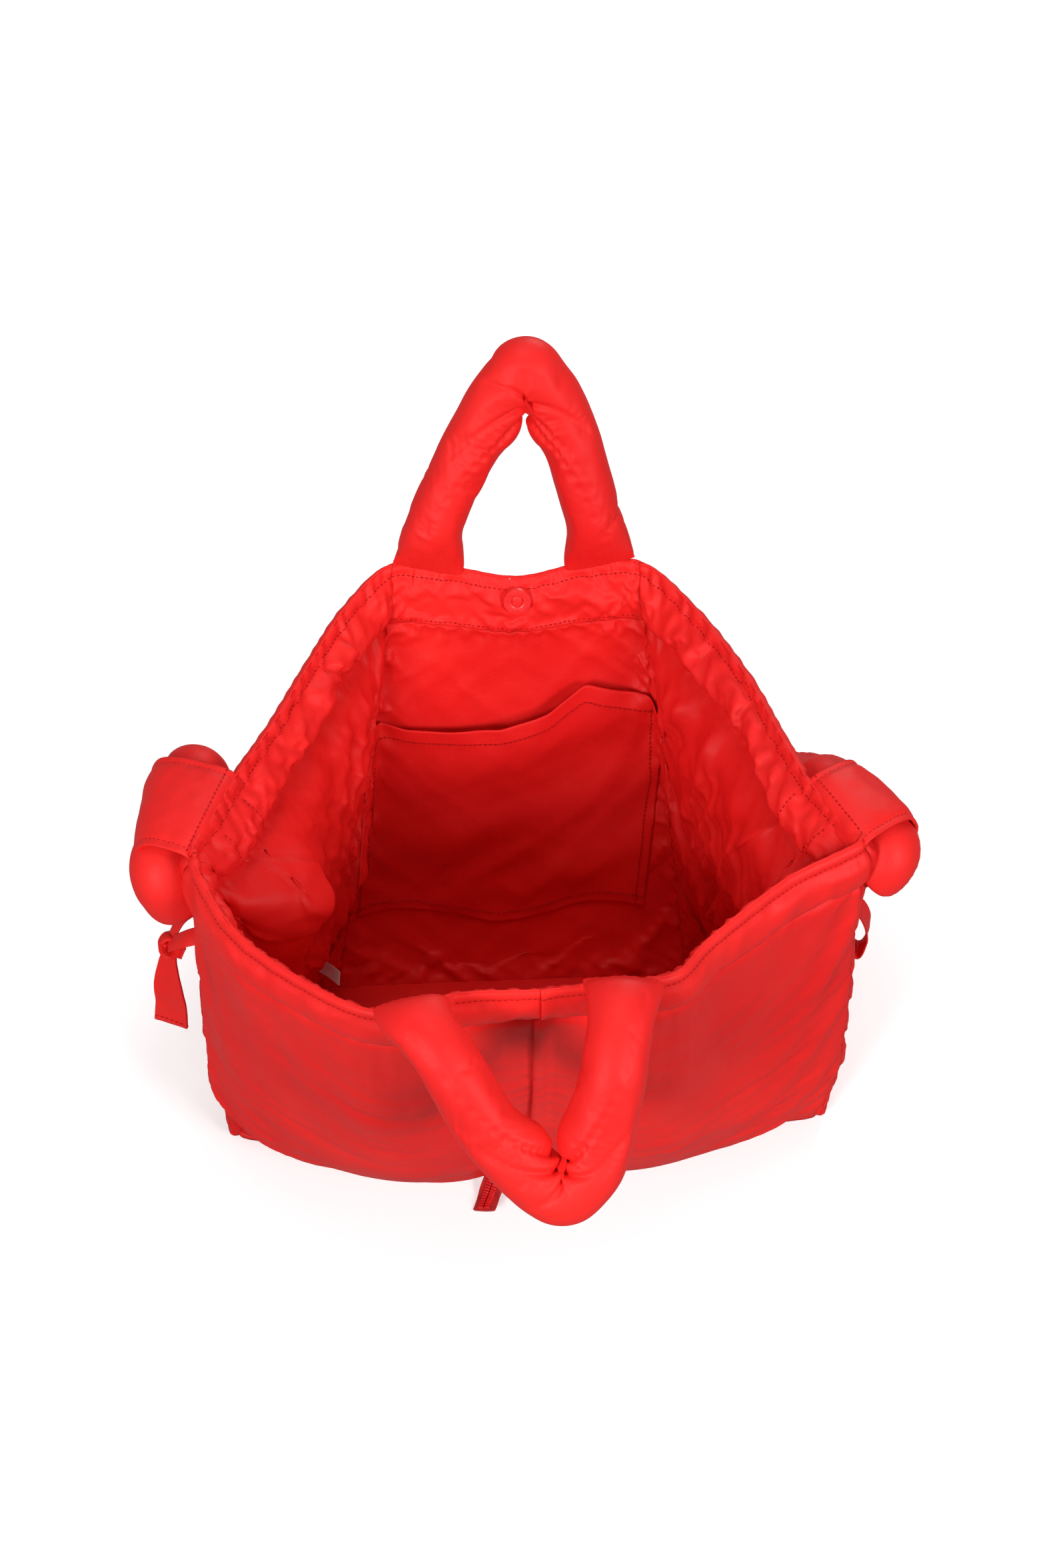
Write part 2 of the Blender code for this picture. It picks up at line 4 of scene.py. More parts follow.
import bmesh
import bpy
import numpy as np
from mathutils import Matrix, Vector, noise
from mathutils.bvhtree import BVHTree


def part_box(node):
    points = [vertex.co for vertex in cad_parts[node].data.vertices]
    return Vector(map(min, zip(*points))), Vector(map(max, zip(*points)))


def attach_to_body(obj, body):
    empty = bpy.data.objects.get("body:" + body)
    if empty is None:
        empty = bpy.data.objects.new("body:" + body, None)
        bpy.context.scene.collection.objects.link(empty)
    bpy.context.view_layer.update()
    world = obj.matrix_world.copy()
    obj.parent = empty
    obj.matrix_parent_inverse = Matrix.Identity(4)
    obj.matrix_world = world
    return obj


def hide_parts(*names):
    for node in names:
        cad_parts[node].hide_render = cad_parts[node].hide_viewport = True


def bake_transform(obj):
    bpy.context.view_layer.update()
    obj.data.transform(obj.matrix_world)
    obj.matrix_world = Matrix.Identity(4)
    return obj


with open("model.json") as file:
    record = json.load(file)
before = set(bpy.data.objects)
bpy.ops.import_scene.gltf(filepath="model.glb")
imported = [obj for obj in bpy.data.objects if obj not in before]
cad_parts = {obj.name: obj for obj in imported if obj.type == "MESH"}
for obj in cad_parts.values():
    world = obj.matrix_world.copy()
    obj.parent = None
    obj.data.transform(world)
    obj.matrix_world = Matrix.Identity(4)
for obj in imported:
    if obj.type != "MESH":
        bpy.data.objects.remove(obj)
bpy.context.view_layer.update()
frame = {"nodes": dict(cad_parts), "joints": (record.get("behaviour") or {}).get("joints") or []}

# Sizes in metres. The wall of the bag is a loft: u counts stations round it, v goes up it.
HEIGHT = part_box("outer_back")[1][2]
BASE_LOW, BASE_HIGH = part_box("outer_base")
MID_Y = (BASE_LOW[1] + BASE_HIGH[1]) / 2
STATIONS = (
    # mouth x, mouth y, base x, base y, swell, hem rise; from the front seam towards +X
    (0.000, -0.1775, 0.000, -0.0960, 0.002, -0.001),
    (0.042, -0.1745, 0.042, -0.0990, 0.017, 0.001),
    (0.078, -0.1700, 0.080, -0.0960, 0.021, 0.001),
    (0.102, -0.1420, 0.120, -0.0850, 0.020, -0.003),
    (0.150, -0.1020, 0.166, -0.0780, 0.016, -0.002),
    (0.198, -0.0770, 0.199, -0.0725, 0.006, 0.003),
    (0.186, -0.0500, 0.203, -0.0430, 0.005, 0.000),
    (0.172, -0.0230, 0.200, -0.0080, 0.005, -0.001),
    (0.159, 0.0170, 0.192, 0.0280, 0.006, -0.003),
    (0.142, 0.0700, 0.182, 0.0455, 0.007, -0.004),
    (0.114, 0.1260, 0.154, 0.0556, 0.008, -0.002),
    (0.082, 0.1650, 0.116, 0.0556, 0.008, 0.001),
    (0.042, 0.1665, 0.058, 0.0556, 0.010, 0.000),
    (0.000, 0.1635, -0.004, 0.0556, 0.011, -0.007),
    (-0.042, 0.1680, -0.067, 0.0556, 0.010, -0.001),
    (-0.082, 0.1700, -0.132, 0.0556, 0.008, 0.001),
    (-0.113, 0.1350, -0.162, 0.0545, 0.008, -0.002),
    (-0.135, 0.0920, -0.184, 0.0440, 0.007, -0.004),
    (-0.159, 0.0380, -0.192, 0.0280, 0.006, -0.003),
    (-0.180, -0.0040, -0.201, -0.0080, 0.006, -0.001),
    (-0.193, -0.0360, -0.205, -0.0420, 0.006, 0.000),
    (-0.204, -0.0690, -0.203, -0.0710, 0.007, 0.003),
    (-0.180, -0.1210, -0.172, -0.0790, 0.018, -0.002),
    (-0.140, -0.1600, -0.125, -0.0860, 0.023, -0.003),
    (-0.093, -0.1890, -0.085, -0.0980, 0.022, 0.001),
    (-0.046, -0.1790, -0.042, -0.1000, 0.017, 0.001),
)
AROUND = len(STATIONS)
SEAM_RIGHT, SEAM_BACK_RIGHT, SEAM_BACK_LEFT, SEAM_LEFT = 5.0, 11.0, 15.0, 21.0
MOUTH = np.array([(s[0], s[1]) for s in STATIONS])
BASE = np.array([(s[2], s[3]) for s in STATIONS])
SWELL = np.array([s[4] for s in STATIONS])
RISE = np.array([s[5] for s in STATIONS])

FACING_DEEP = 0.038
BAND_V = 1.0 - FACING_DEEP / HEIGHT
# The middle of the back is at y 0.0556 at the floor and at 0.1640 at the mouth
BACK_LEAN = math.atan2(0.1640 - 0.0556, HEIGHT)

CAMERA_TARGET = (0.0, 0.0698, 0.200)
CAMERA_TILT = math.radians(50.0)
CAMERA_TURN = math.radians(-2.5)
CAMERA_DISTANCE = 1.745
CAMERA_LENS = 61.2


# Small helpers


def ease(t):
    t = np.clip(t, 0.0, 1.0)
    return t * t * (3.0 - 2.0 * t)


def hump(distance, width):
    """1 in the middle, falling off like a bell curve."""
    return np.exp(-((distance / width) ** 2))


def catmull(table, u):
    """Values of a closed Catmull-Rom curve through the rows of `table`, at every u."""
    k = np.floor(u).astype(int)
    t = (u - k)[..., None] if table.ndim > 1 else u - k
    a, b, c, d = (table[(k + i) % len(table)] for i in (-1, 0, 1, 2))
    return 0.5 * (2 * b + (c - a) * t + (2 * a - 5 * b + 4 * c - d) * t**2 + (3 * b - a - 3 * c + d) * t**3)


def spline(points, count):
    """Points along an open Catmull-Rom curve."""
    p = np.array(points, float)
    p = np.vstack([2 * p[0] - p[1], p, 2 * p[-1] - p[-2]])
    spans = len(p) - 3
    s = np.linspace(0, spans, count)
    k = np.minimum(s.astype(int), spans - 1)
    t = (s - k)[:, None]
    a, b, c, d = (p[k + i] for i in range(4))
    return 0.5 * (2 * b + (c - a) * t + (2 * a - 5 * b + 4 * c - d) * t**2 + (3 * b - a - 3 * c + d) * t**3)


def run_of(points):
    """The distance from a line's first point to each of its points."""
    return np.concatenate([[0], np.cumsum(np.linalg.norm(np.diff(points, axis=0), axis=1))])


def point_at(wanted, at, points):
    """The points at the distances `wanted` along a line."""
    return np.stack([np.interp(wanted, at, points[:, i]) for i in range(points.shape[1])], axis=-1)


def even(points, count):
    """The same line with points at equal distances."""
    points = np.array(points, float)
    at = run_of(points)
    return point_at(np.linspace(0, at[-1], count), at, points)


def tangents(path):
    return unit(np.gradient(path, axis=0))


def unit(vectors):
    return vectors / np.maximum(np.linalg.norm(vectors, axis=-1, keepdims=True), 1e-12)


def wobble(points, scale, seed):
    """Smooth noise from -1 to 1 at each point."""
    flat = np.asarray(points).reshape(-1, 3) * scale + seed * 7.31
    values = [noise.noise(Vector(p)) for p in flat]
    return np.array(values).reshape(np.asarray(points).shape[:-1])


def body_profile(v):
    """How much of the swell shows at each height: most of it low down, none at the floor or the mouth."""
    return np.sin(np.pi * np.clip(v, 0, 1) ** 0.55)


def wall(u, v, inset):
    """Points of the bag's wall for arrays u and v, moved inwards by `inset`."""
    mouth, base = catmull(MOUTH, u), catmull(BASE, u)
    plan = base + (mouth - base) * v[..., None]
    step = 0.15
    ahead, behind = (
        catmull(BASE, place) * (1 - v[..., None]) + catmull(MOUTH, place) * v[..., None]
        for place in (u + step, u - step)
    )
    along = unit(ahead - behind)
    out = np.stack([along[..., 1], -along[..., 0]], axis=-1)
    plan = plan + out * (catmull(SWELL, u) * body_profile(v) - inset)[..., None]
    height = v * HEIGHT + catmull(RISE, u) * v**3
    return np.concatenate([plan, height[..., None]], axis=-1)


def grid_normals(points, closed=False):
    """Unit normals of a grid of points; rows run up and columns run round."""
    if closed:
        du = np.roll(points, -1, axis=1) - np.roll(points, 1, axis=1)
    else:
        du = np.gradient(points, axis=1)
    dv = np.gradient(points, axis=0)
    return unit(np.cross(du, dv))


def mesh_object(name, verts, faces, material, smooth=True):
    mesh = bpy.data.meshes.new(name)
    mesh.from_pydata([tuple(map(float, p)) for p in verts], [], [tuple(map(int, f)) for f in faces])
    mesh.update()
    if smooth:
        mesh.shade_smooth()
    if material:
        mesh.materials.append(material)
    return in_scene(bpy.data.objects.new(name, mesh))


def in_scene(obj):
    bpy.context.scene.collection.objects.link(obj)
    return obj


def subdivide(obj):
    smoother = obj.modifiers.new("smooth", "SUBSURF")
    smoother.levels = smoother.render_levels = 1


def thicken(obj, thickness, offset):
    solid = obj.modifiers.new("thickness", "SOLIDIFY")
    solid.thickness = thickness
    solid.offset = offset
    return solid


def attach(obj, body, slot, *replaced):
    """Rides the piece on a body and takes the place of CAD nodes; `slot` is not used."""
    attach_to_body(obj, body)
    if replaced:
        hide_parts(*replaced)


def pivot(joint):
    """Where the hinge `joint` turns."""
    return np.array(next(j["pos_m"] for j in frame["joints"] if j["name"] == joint))


def grid_faces(rows, columns, closed=False, offset=0):
    across = columns if closed else columns - 1
    i, j = np.meshgrid(np.arange(rows - 1), np.arange(across), indexing="ij")
    k = (j + 1) % columns
    low, high = i * columns, (i + 1) * columns
    quads = np.stack([low + j, low + k, high + k, high + j], axis=-1)
    return quads.reshape(-1, 4) + offset


def sheet_object(name, points, material, thickness, offset=-1.0, smooth=True):
    """A grid of points as cloth of the given thickness."""
    rows, columns = points.shape[:2]
    obj = mesh_object(name, points.reshape(-1, 3), grid_faces(rows, columns), material)
    solid = thicken(obj, thickness, offset)
    solid.edge_crease_inner = solid.edge_crease_outer = 1.0
    if smooth:
        subdivide(obj)
    return obj


def evaluated_points(obj):
    graph = bpy.context.evaluated_depsgraph_get()
    mesh = obj.evaluated_get(graph).to_mesh()
    points = np.empty(len(mesh.vertices) * 3)
    mesh.vertices.foreach_get("co", points)
    return points.reshape(-1, 3)


CLOTH_MASS, CLOTH_STIFFNESS, CLOTH_BENDING = 0.12, 12.0, 0.05


def relax_cloth(name, points, pins, frames, grow, pressure, gravity):
    """Lets a closed grid of points settle as cloth cut `grow` too large, and returns the new points.

    `pins` is a grid of weights: 1 holds a point where it is, 0 leaves it free.
    """
    rows, columns = points.shape[:2]
    obj = mesh_object(name, points.reshape(-1, 3), grid_faces(rows, columns, True), None)
    group = obj.vertex_groups.new(name="pins")
    for i, weight in enumerate(pins.reshape(-1)):
        if weight > 0:
            group.add([i], float(weight), "REPLACE")
    cloth = obj.modifiers.new("cloth", "CLOTH")
    settings = cloth.settings
    settings.quality = 5
    settings.mass = CLOTH_MASS
    settings.vertex_group_mass = "pins"
    settings.pin_stiffness = 1.0
    settings.tension_stiffness = settings.compression_stiffness = CLOTH_STIFFNESS
    settings.shear_stiffness = CLOTH_STIFFNESS / 3
    settings.bending_stiffness = CLOTH_BENDING
    settings.tension_damping = settings.compression_damping = 8
    settings.shrink_min = -grow
    settings.use_pressure = pressure != 0
    settings.uniform_pressure_force = pressure
    settings.effector_weights.gravity = gravity
    cloth.collision_settings.use_collision = False
    cloth.point_cache.frame_start = 1
    cloth.point_cache.frame_end = frames
    for step in range(1, frames + 1):
        bpy.context.scene.frame_set(step)
    settled = evaluated_points(obj).reshape(points.shape)
    bpy.context.scene.frame_set(1)
    mesh = obj.data
    bpy.data.objects.remove(obj)
    bpy.data.meshes.remove(mesh)
    return settled


def cap_move(rest, moved, normals, lowest, highest, sideways):
    """Keeps each point's move from `lowest` to `highest` along its normal and under `sideways` across it."""
    move = moved - rest
    along = np.sum(move * normals, axis=-1, keepdims=True)
    across = move - along * normals
    length = np.linalg.norm(across, axis=-1, keepdims=True)
    across *= sideways / np.maximum(length, sideways)
    span = np.where(along > 0, highest, -lowest)
    along = span * np.tanh(along / np.maximum(span, 1e-6))
    return rest + across + along * normals


# Materials


class Shader:
    """A material with a Principled BSDF and short calls for adding nodes."""

    def __init__(self, name, roughness, metallic=0.0, sheen=0.0, specular=0.5):
        self.material = bpy.data.materials.new(name)
        self.material.use_nodes = True
        self.tree = self.material.node_tree
        self.surface = self.tree.nodes["Principled BSDF"]
        self.surface.inputs["Roughness"].default_value = roughness
        self.surface.inputs["Metallic"].default_value = metallic
        self.surface.inputs["Sheen Weight"].default_value = sheen
        self.surface.inputs["Sheen Roughness"].default_value = 0.45
        self.surface.inputs["Specular IOR Level"].default_value = specular
        self.place = self.node("ShaderNodeTexCoord").outputs["Object"]
        self.height = None

    def node(self, kind, **values):
        node = self.tree.nodes.new(kind)
        for key, value in values.items():
            setattr(node, key, value)
        return node

    def link(self, output, node, socket):
        self.tree.links.new(output, node.inputs[socket])
        return node

    def noise(self, scale, detail=3.0, rough=0.55, distortion=0.0, stretch=None, ridges=False):
        node = self.node("ShaderNodeTexNoise", noise_type="RIDGED_MULTIFRACTAL" if ridges else "FBM")
        place = self.place
        if stretch:
            mapping = self.node("ShaderNodeMapping")
            mapping.inputs["Scale"].default_value = stretch
            self.link(place, mapping, "Vector")
            place = mapping.outputs["Vector"]
        self.link(place, node, "Vector")
        values = {"Scale": scale, "Detail": detail, "Roughness": rough, "Distortion": distortion}
        for key, value in values.items():
            node.inputs[key].default_value = value
        return node.outputs["Fac"]

    def ramp(self, value, stops):
        node = self.node("ShaderNodeValToRGB")
        self.link(value, node, "Fac")
        elements = node.color_ramp.elements
        while len(elements) < len(stops):
            elements.new(0.5)
        for element, (place, colour) in zip(elements, stops, strict=True):
            element.position = place
            element.color = (*colour, 1.0)
        return node.outputs["Color"]

    def mix(self, share, first, second):
        """The colour `first`, with the fixed colour `second` over it where `share` is high."""
        node = self.node("ShaderNodeMix", data_type="RGBA")
        self.link(share, node, 0)
        self.link(first, node, 6)
        node.inputs[7].default_value = (*second, 1.0)
        return node.outputs[2]

    def bump(self, value, distance, strength=1.0):
        """Adds a layer of relief over the ones before it."""
        node = self.node("ShaderNodeBump")
        node.inputs["Distance"].default_value = distance
        node.inputs["Strength"].default_value = strength
        self.link(value, node, "Height")
        if self.height is not None:
            self.link(self.height, node, "Normal")
        self.height = node.outputs["Normal"]
        self.link(self.height, self.surface, "Normal")

    def weave(self, pitch, distance):
        """Crossed threads with the given distance between them."""
        for direction in ("X", "Y", "Z"):
            node = self.node("ShaderNodeTexWave", bands_direction=direction)
            self.link(self.place, node, "Vector")
            node.inputs["Scale"].default_value = 1.0 / pitch / 3.2
            node.inputs["Distortion"].default_value = 0.4
            self.bump(node.outputs["Fac"], distance, 0.35)

    def colour(self, value):
        self.link(value, self.surface, "Base Color")

    def roughness(self, value, low, high):
        node = self.node("ShaderNodeMapRange")
        self.link(value, node, "Value")
        node.inputs["To Min"].default_value = low
        node.inputs["To Max"].default_value = high
        self.link(node.outputs["Result"], self.surface, "Roughness")


def nylon(name, light, dark, crumple):
    """Thin crisp nylon: uneven dye, fine weave, soft creases and a few specks of dust."""
    s = Shader(name, 0.48, specular=0.15)
    base = s.ramp(s.noise(7.0, 5.0), ((0.35, dark), (0.65, light)))
    worn = s.ramp(s.noise(26.0, 6.0, 0.65, 0.6), ((0.50, (0, 0, 0)), (0.80, (0.05, 0.05, 0.05))))
    base = s.mix(worn, base, (0.95, 0.10, 0.08))
    specks = s.ramp(s.noise(1300.0, 1.0), ((0.79, (0, 0, 0)), (0.82, (0.4, 0.4, 0.4))))
    s.colour(s.mix(specks, base, (0.95, 0.45, 0.42)))
    s.roughness(s.noise(40.0, 4.0), 0.38, 0.56)
    s.bump(s.noise(17.0, 3.0, 0.5, 0.9, ridges=True), 0.0022, crumple)
    s.bump(s.noise(42.0, 5.0, 0.6, 0.4), 0.0016, crumple)
    s.bump(s.noise(130.0, 4.0, 0.55), 0.0005, crumple)
    s.weave(0.00045, 0.00004)
    return s.material


def plastic(name, colour, dark):
    s = Shader(name, 0.35, specular=0.5)
    s.colour(s.ramp(s.noise(300.0), ((0.3, dark), (0.7, colour))))
    s.roughness(s.noise(200.0), 0.28, 0.42)
    s.bump(s.noise(900.0), 0.0001, 0.4)
    return s.material


def thread_material():
    s = Shader("thread", 0.7, specular=0.1)
    # The thread's dark red, far darker than the cloth's, is painted shade of the grooves and needle holes the
    # stitches sit in
    s.colour(s.ramp(s.noise(500.0), ((0.3, (0.40, 0.005, 0.006)), (0.7, (0.56, 0.010, 0.010)))))
    wave = s.node("ShaderNodeTexWave", bands_direction="DIAGONAL")
    s.link(s.place, wave, "Vector")
    wave.inputs["Scale"].default_value = 900.0
    s.bump(wave.outputs["Fac"], 0.0001, 0.6)
    return s.material


def woven(name, colour, dark, pitch):
    s = Shader(name, 0.8, sheen=0.25, specular=0.25)
    s.colour(s.ramp(s.noise(220.0), ((0.3, dark), (0.7, colour))))
    s.weave(pitch, 0.0002)
    s.bump(s.noise(70.0), 0.0004, 0.5)
    return s.material


def steel(name):
    s = Shader(name, 0.3, metallic=1.0)
    brushed = s.noise(400.0, stretch=(1, 1, 20))
    s.colour(s.ramp(brushed, ((0.3, (0.45, 0.45, 0.46)), (0.7, (0.62, 0.62, 0.64)))))
    s.bump(s.noise(800.0), 0.00005, 0.4)
    return s.material


# Colours are light and dark shades of each material. The lining's red is set darker than the shell's as
# painted shade for the deep inside of the bag
SHELL = nylon("shell_nylon", (0.86, 0.022, 0.019), (0.76, 0.014, 0.014), 0.30)
LINING = nylon("lining_nylon", (0.80, 0.016, 0.014), (0.68, 0.009, 0.009), 0.36)
THREAD = thread_material()
TAPE = woven("tape_cloth", (0.55, 0.012, 0.014), (0.38, 0.006, 0.008), 0.0007)
TEETH = plastic("teeth_plastic", (0.80, 0.020, 0.022), (0.62, 0.012, 0.014))
PAINT = plastic("painted_metal", (0.86, 0.030, 0.028), (0.74, 0.018, 0.02))
STEEL = steel("steel")
LABEL = woven("label_cloth", (0.86, 0.86, 0.84), (0.76, 0.76, 0.74), 0.0005)


# The shell: one loop of cloth outside and one inside, settled, then cut into the sewn pieces


COLUMNS = AROUND * 10
OUTER_ROWS, INNER_ROWS = 82, 84
HEM_STITCH_DEPTH = 0.0075
# The lining ends this far up the wall, above the base
LINING_LOW = 0.022


def from_front(u):
    """How many stations away from the middle of the front u is, either way round."""
    return np.abs((u + AROUND / 2) % AROUND - AROUND / 2)


def near_seam(u, width):
    """1 on a seam between the gussets and the front or back, falling to 0 at `width` stations from it."""
    seams = (SEAM_RIGHT, SEAM_BACK_RIGHT, SEAM_BACK_LEFT, SEAM_LEFT)
    distance = np.min([from_front(u - seam) for seam in seams], axis=0)
    return np.clip(1.0 - distance / width, 0.0, 1.0)


def rounded_hem(v, depth):
    """0 below the hem, rising to 1 at its top edge like a quarter of a circle."""
    t = np.clip((v - 1.0) * HEIGHT / depth + 1.0, 0.0, 1.0)
    return 1.0 - np.sqrt(np.maximum(1.0 - t * t, 0.0))


def smile_folds(points, u):
    """Fine folds across the front, in arcs that hang between its two upper corners."""
    x, z = points[..., 0], points[..., 2]
    dx, dz = x - 0.015, (z - 0.47) * 1.05
    radius, angle = np.hypot(dx, dz), np.arctan2(dx, -dz)
    relief = 0.0
    for per_metre, per_radian, seed, depth in ((62.0, 2.6, 3.0, 0.0026), (150.0, 4.5, 9.0, 0.0013)):
        place = np.stack([radius * per_metre, angle * per_radian, 0 * radius + seed], axis=-1)
        relief = relief + depth * (1.0 - 2.2 * np.abs(wobble(place, 1.0, 0.0)) ** 0.8)
    front = ease(5.2 - from_front(u))
    low = ease((radius - 0.22) / 0.10) * (0.25 + 0.75 * np.abs(np.sin(angle)))
    patchy = ease(0.55 + 0.8 * wobble(points, 11.0, 14.0))
    return front * low * patchy * relief


def along_hem():
    """The distance round the mouth at each column."""
    ring = catmull(MOUTH, np.arange(COLUMNS) * AROUND / COLUMNS)
    steps = np.linalg.norm(np.roll(ring, -1, axis=0) - ring, axis=1)
    return np.concatenate([[0], np.cumsum(steps)[:-1]])


def ridged(place, seed):
    """Noise with soft tops and sharp valleys, from about -1 to 1."""
    return 1.0 - 2.4 * np.abs(wobble(place, 1.0, seed)) ** 0.75


def refined(points):
    """The closed grid with a point added between every two, on a smooth curve."""
    a, b, c, d = (np.roll(points, 1 - i, axis=1) for i in range(4))
    wide = np.stack([b, (9 * (b + c) - a - d) / 16], axis=2).reshape(len(points), -1, 3)
    longer = np.concatenate([2 * wide[:1] - wide[1:2], wide, 2 * wide[-1:] - wide[-2:-1]])
    result = np.empty((2 * len(points) - 1, wide.shape[1], 3))
    result[0::2] = wide
    result[1::2] = (9 * (wide[:-1] + wide[1:]) - longer[:-3] - longer[3:]) / 16
    return result


def tucked(points, low, amount, seed):
    """Adds the short tucks beside the stitch lines and the finest creases; rows run from v = `low` to 1."""
    depth = (1 - np.linspace(low, 1, len(points)))[:, None] * HEIGHT * np.ones(points.shape[1])
    reach = np.repeat(along_hem(), 2)[None] + np.zeros_like(depth)
    tucks = hump(np.abs(depth - FACING_DEEP) - 0.0050, 0.0032)
    tucks += 0.7 * hump(depth - HEM_STITCH_DEPTH - 0.0050, 0.0032)
    tucks = tucks * 0.0008 * crumples(reach, depth, 0.0050, 0.3, seed)
    creases = 0.0007 * crumples(reach, depth, 0.0105, 1.1, seed + 1)
    creases = creases + 0.0005 * crumples(reach, depth, 0.0080, -0.9, seed + 2)
    creases = creases * ease(0.45 + 1.1 * wobble(points, 16.0, seed + 3))
    calm = ease((depth - HEM_STITCH_DEPTH) / 0.003) * ease(np.abs(depth - FACING_DEEP) / 0.003)
    calm = calm * ease((HEIGHT - depth) / 0.04)
    normals = grid_normals(points, closed=True)
    return points + normals * ((tucks + amount * creases) * calm)[..., None]


def crumples(reach, depth, pitch, slant, seed):
    """Folds `pitch` apart that run down from the hem, leaning by `slant`."""
    lean = reach + slant * depth
    return ridged(np.stack([lean / pitch, 0.35 * depth / pitch, 0 * depth], axis=-1), seed)


def outer_loop():
    """The padded shell as one closed grid, from the floor up to the mouth."""
    u, v = np.meshgrid(np.arange(COLUMNS) * AROUND / COLUMNS, np.linspace(0, 1, OUTER_ROWS))
    depth = (1 - v) * HEIGHT
    seams = near_seam(u, 0.16)
    inset = 0.0020 * seams**2 + 0.0042 * rounded_hem(v, 0.0050) + 0.006 * (1 - np.sqrt(ease(v / 0.03)))
    band_stitch = hump((v - BAND_V) * HEIGHT, 0.005)
    hem_stitch = hump(depth - HEM_STITCH_DEPTH, 0.0035)
    in_band = (depth - HEM_STITCH_DEPTH) / (FACING_DEEP - HEM_STITCH_DEPTH)
    puff_of_band = np.sin(np.pi * np.clip(in_band, 0, 1))
    inset = inset + 0.0042 * band_stitch + 0.0014 * hem_stitch - 0.0036 * puff_of_band
    # The front's lower corners are tucked in below a slanting edge
    tuck_width = 2.6
    for corner, inwards, height, deep in ((SEAM_LEFT, 1.0, 0.25, 0.011), (SEAM_RIGHT, -1.0, 0.19, 0.008)):
        from_corner = np.maximum((u - corner) * inwards, 0.0)
        edge = height * (1 - from_corner / tuck_width)
        below = ease((edge - v) / 0.05) * (from_corner < tuck_width)
        inset = inset + deep * below * ease(from_corner / 0.25 + 0.3)
    points = wall(u, v, inset)
    normals = grid_normals(points, closed=True)
    free = (1 - band_stitch) * (1 - hem_stitch) * ease((depth - 0.004) / 0.012)
    broad = 0.0030 * wobble(points, 13.0, 5.0) + 0.0012 * wobble(points, 38.0, 1.0)
    band = 0.0006 * crumples(along_hem()[None], depth, 0.022, 0.5, 21.0) * puff_of_band
    relief = (broad * ease(v / 0.1) + band) * free + smile_folds(points, u)
    points = points + normals * relief[..., None]
    amount = 0.15 + 0.35 * ease(from_front(np.arange(2 * COLUMNS) / 20) - 3.6)
    pins = np.maximum(0.75 * seams**2, ease((v - 0.975) / 0.02))
    pins = np.maximum(pins, 0.85 * np.maximum(band_stitch, hem_stitch))
    pins = np.maximum(pins, 1.0 - ease(v / 0.03))
    pins = np.clip(pins, 0.02, 1.0)
    moved = relax_cloth("outer_cloth", points, pins, 14, 0.035, 1.0, 0.8)
    front = ease((4.9 - from_front(u)) / 0.6)
    moved = points + (moved - points) * (1 - 0.75 * front)[..., None]
    moved = cap_move(points, moved, normals, -0.004, 0.008, 0.006)
    return tucked(refined(moved), 0.0, amount, 61.0)


# How far inside the wall the lining lies at each depth below the mouth: at the gussets it is puffed up
DEPTHS = (0.000, 0.003, 0.0075, 0.014, 0.023, 0.031, 0.038, 0.046, 0.060, 0.088, 0.120, 0.160, 0.210, 0.260,
          0.310)
SIDE_INSETS = (0.0042, 0.0072, 0.0085, 0.0190, 0.0240, 0.0200, 0.0125, 0.0250, 0.0380, 0.0480, 0.0540, 0.0550,
               0.0440, 0.0280, 0.0130)
FLAT_INSETS = (0.0042, 0.0066, 0.0070, 0.0105, 0.0120, 0.0110, 0.0090, 0.0108, 0.0120, 0.0125, 0.0120, 0.0120,
               0.0120, 0.0120, 0.0125)


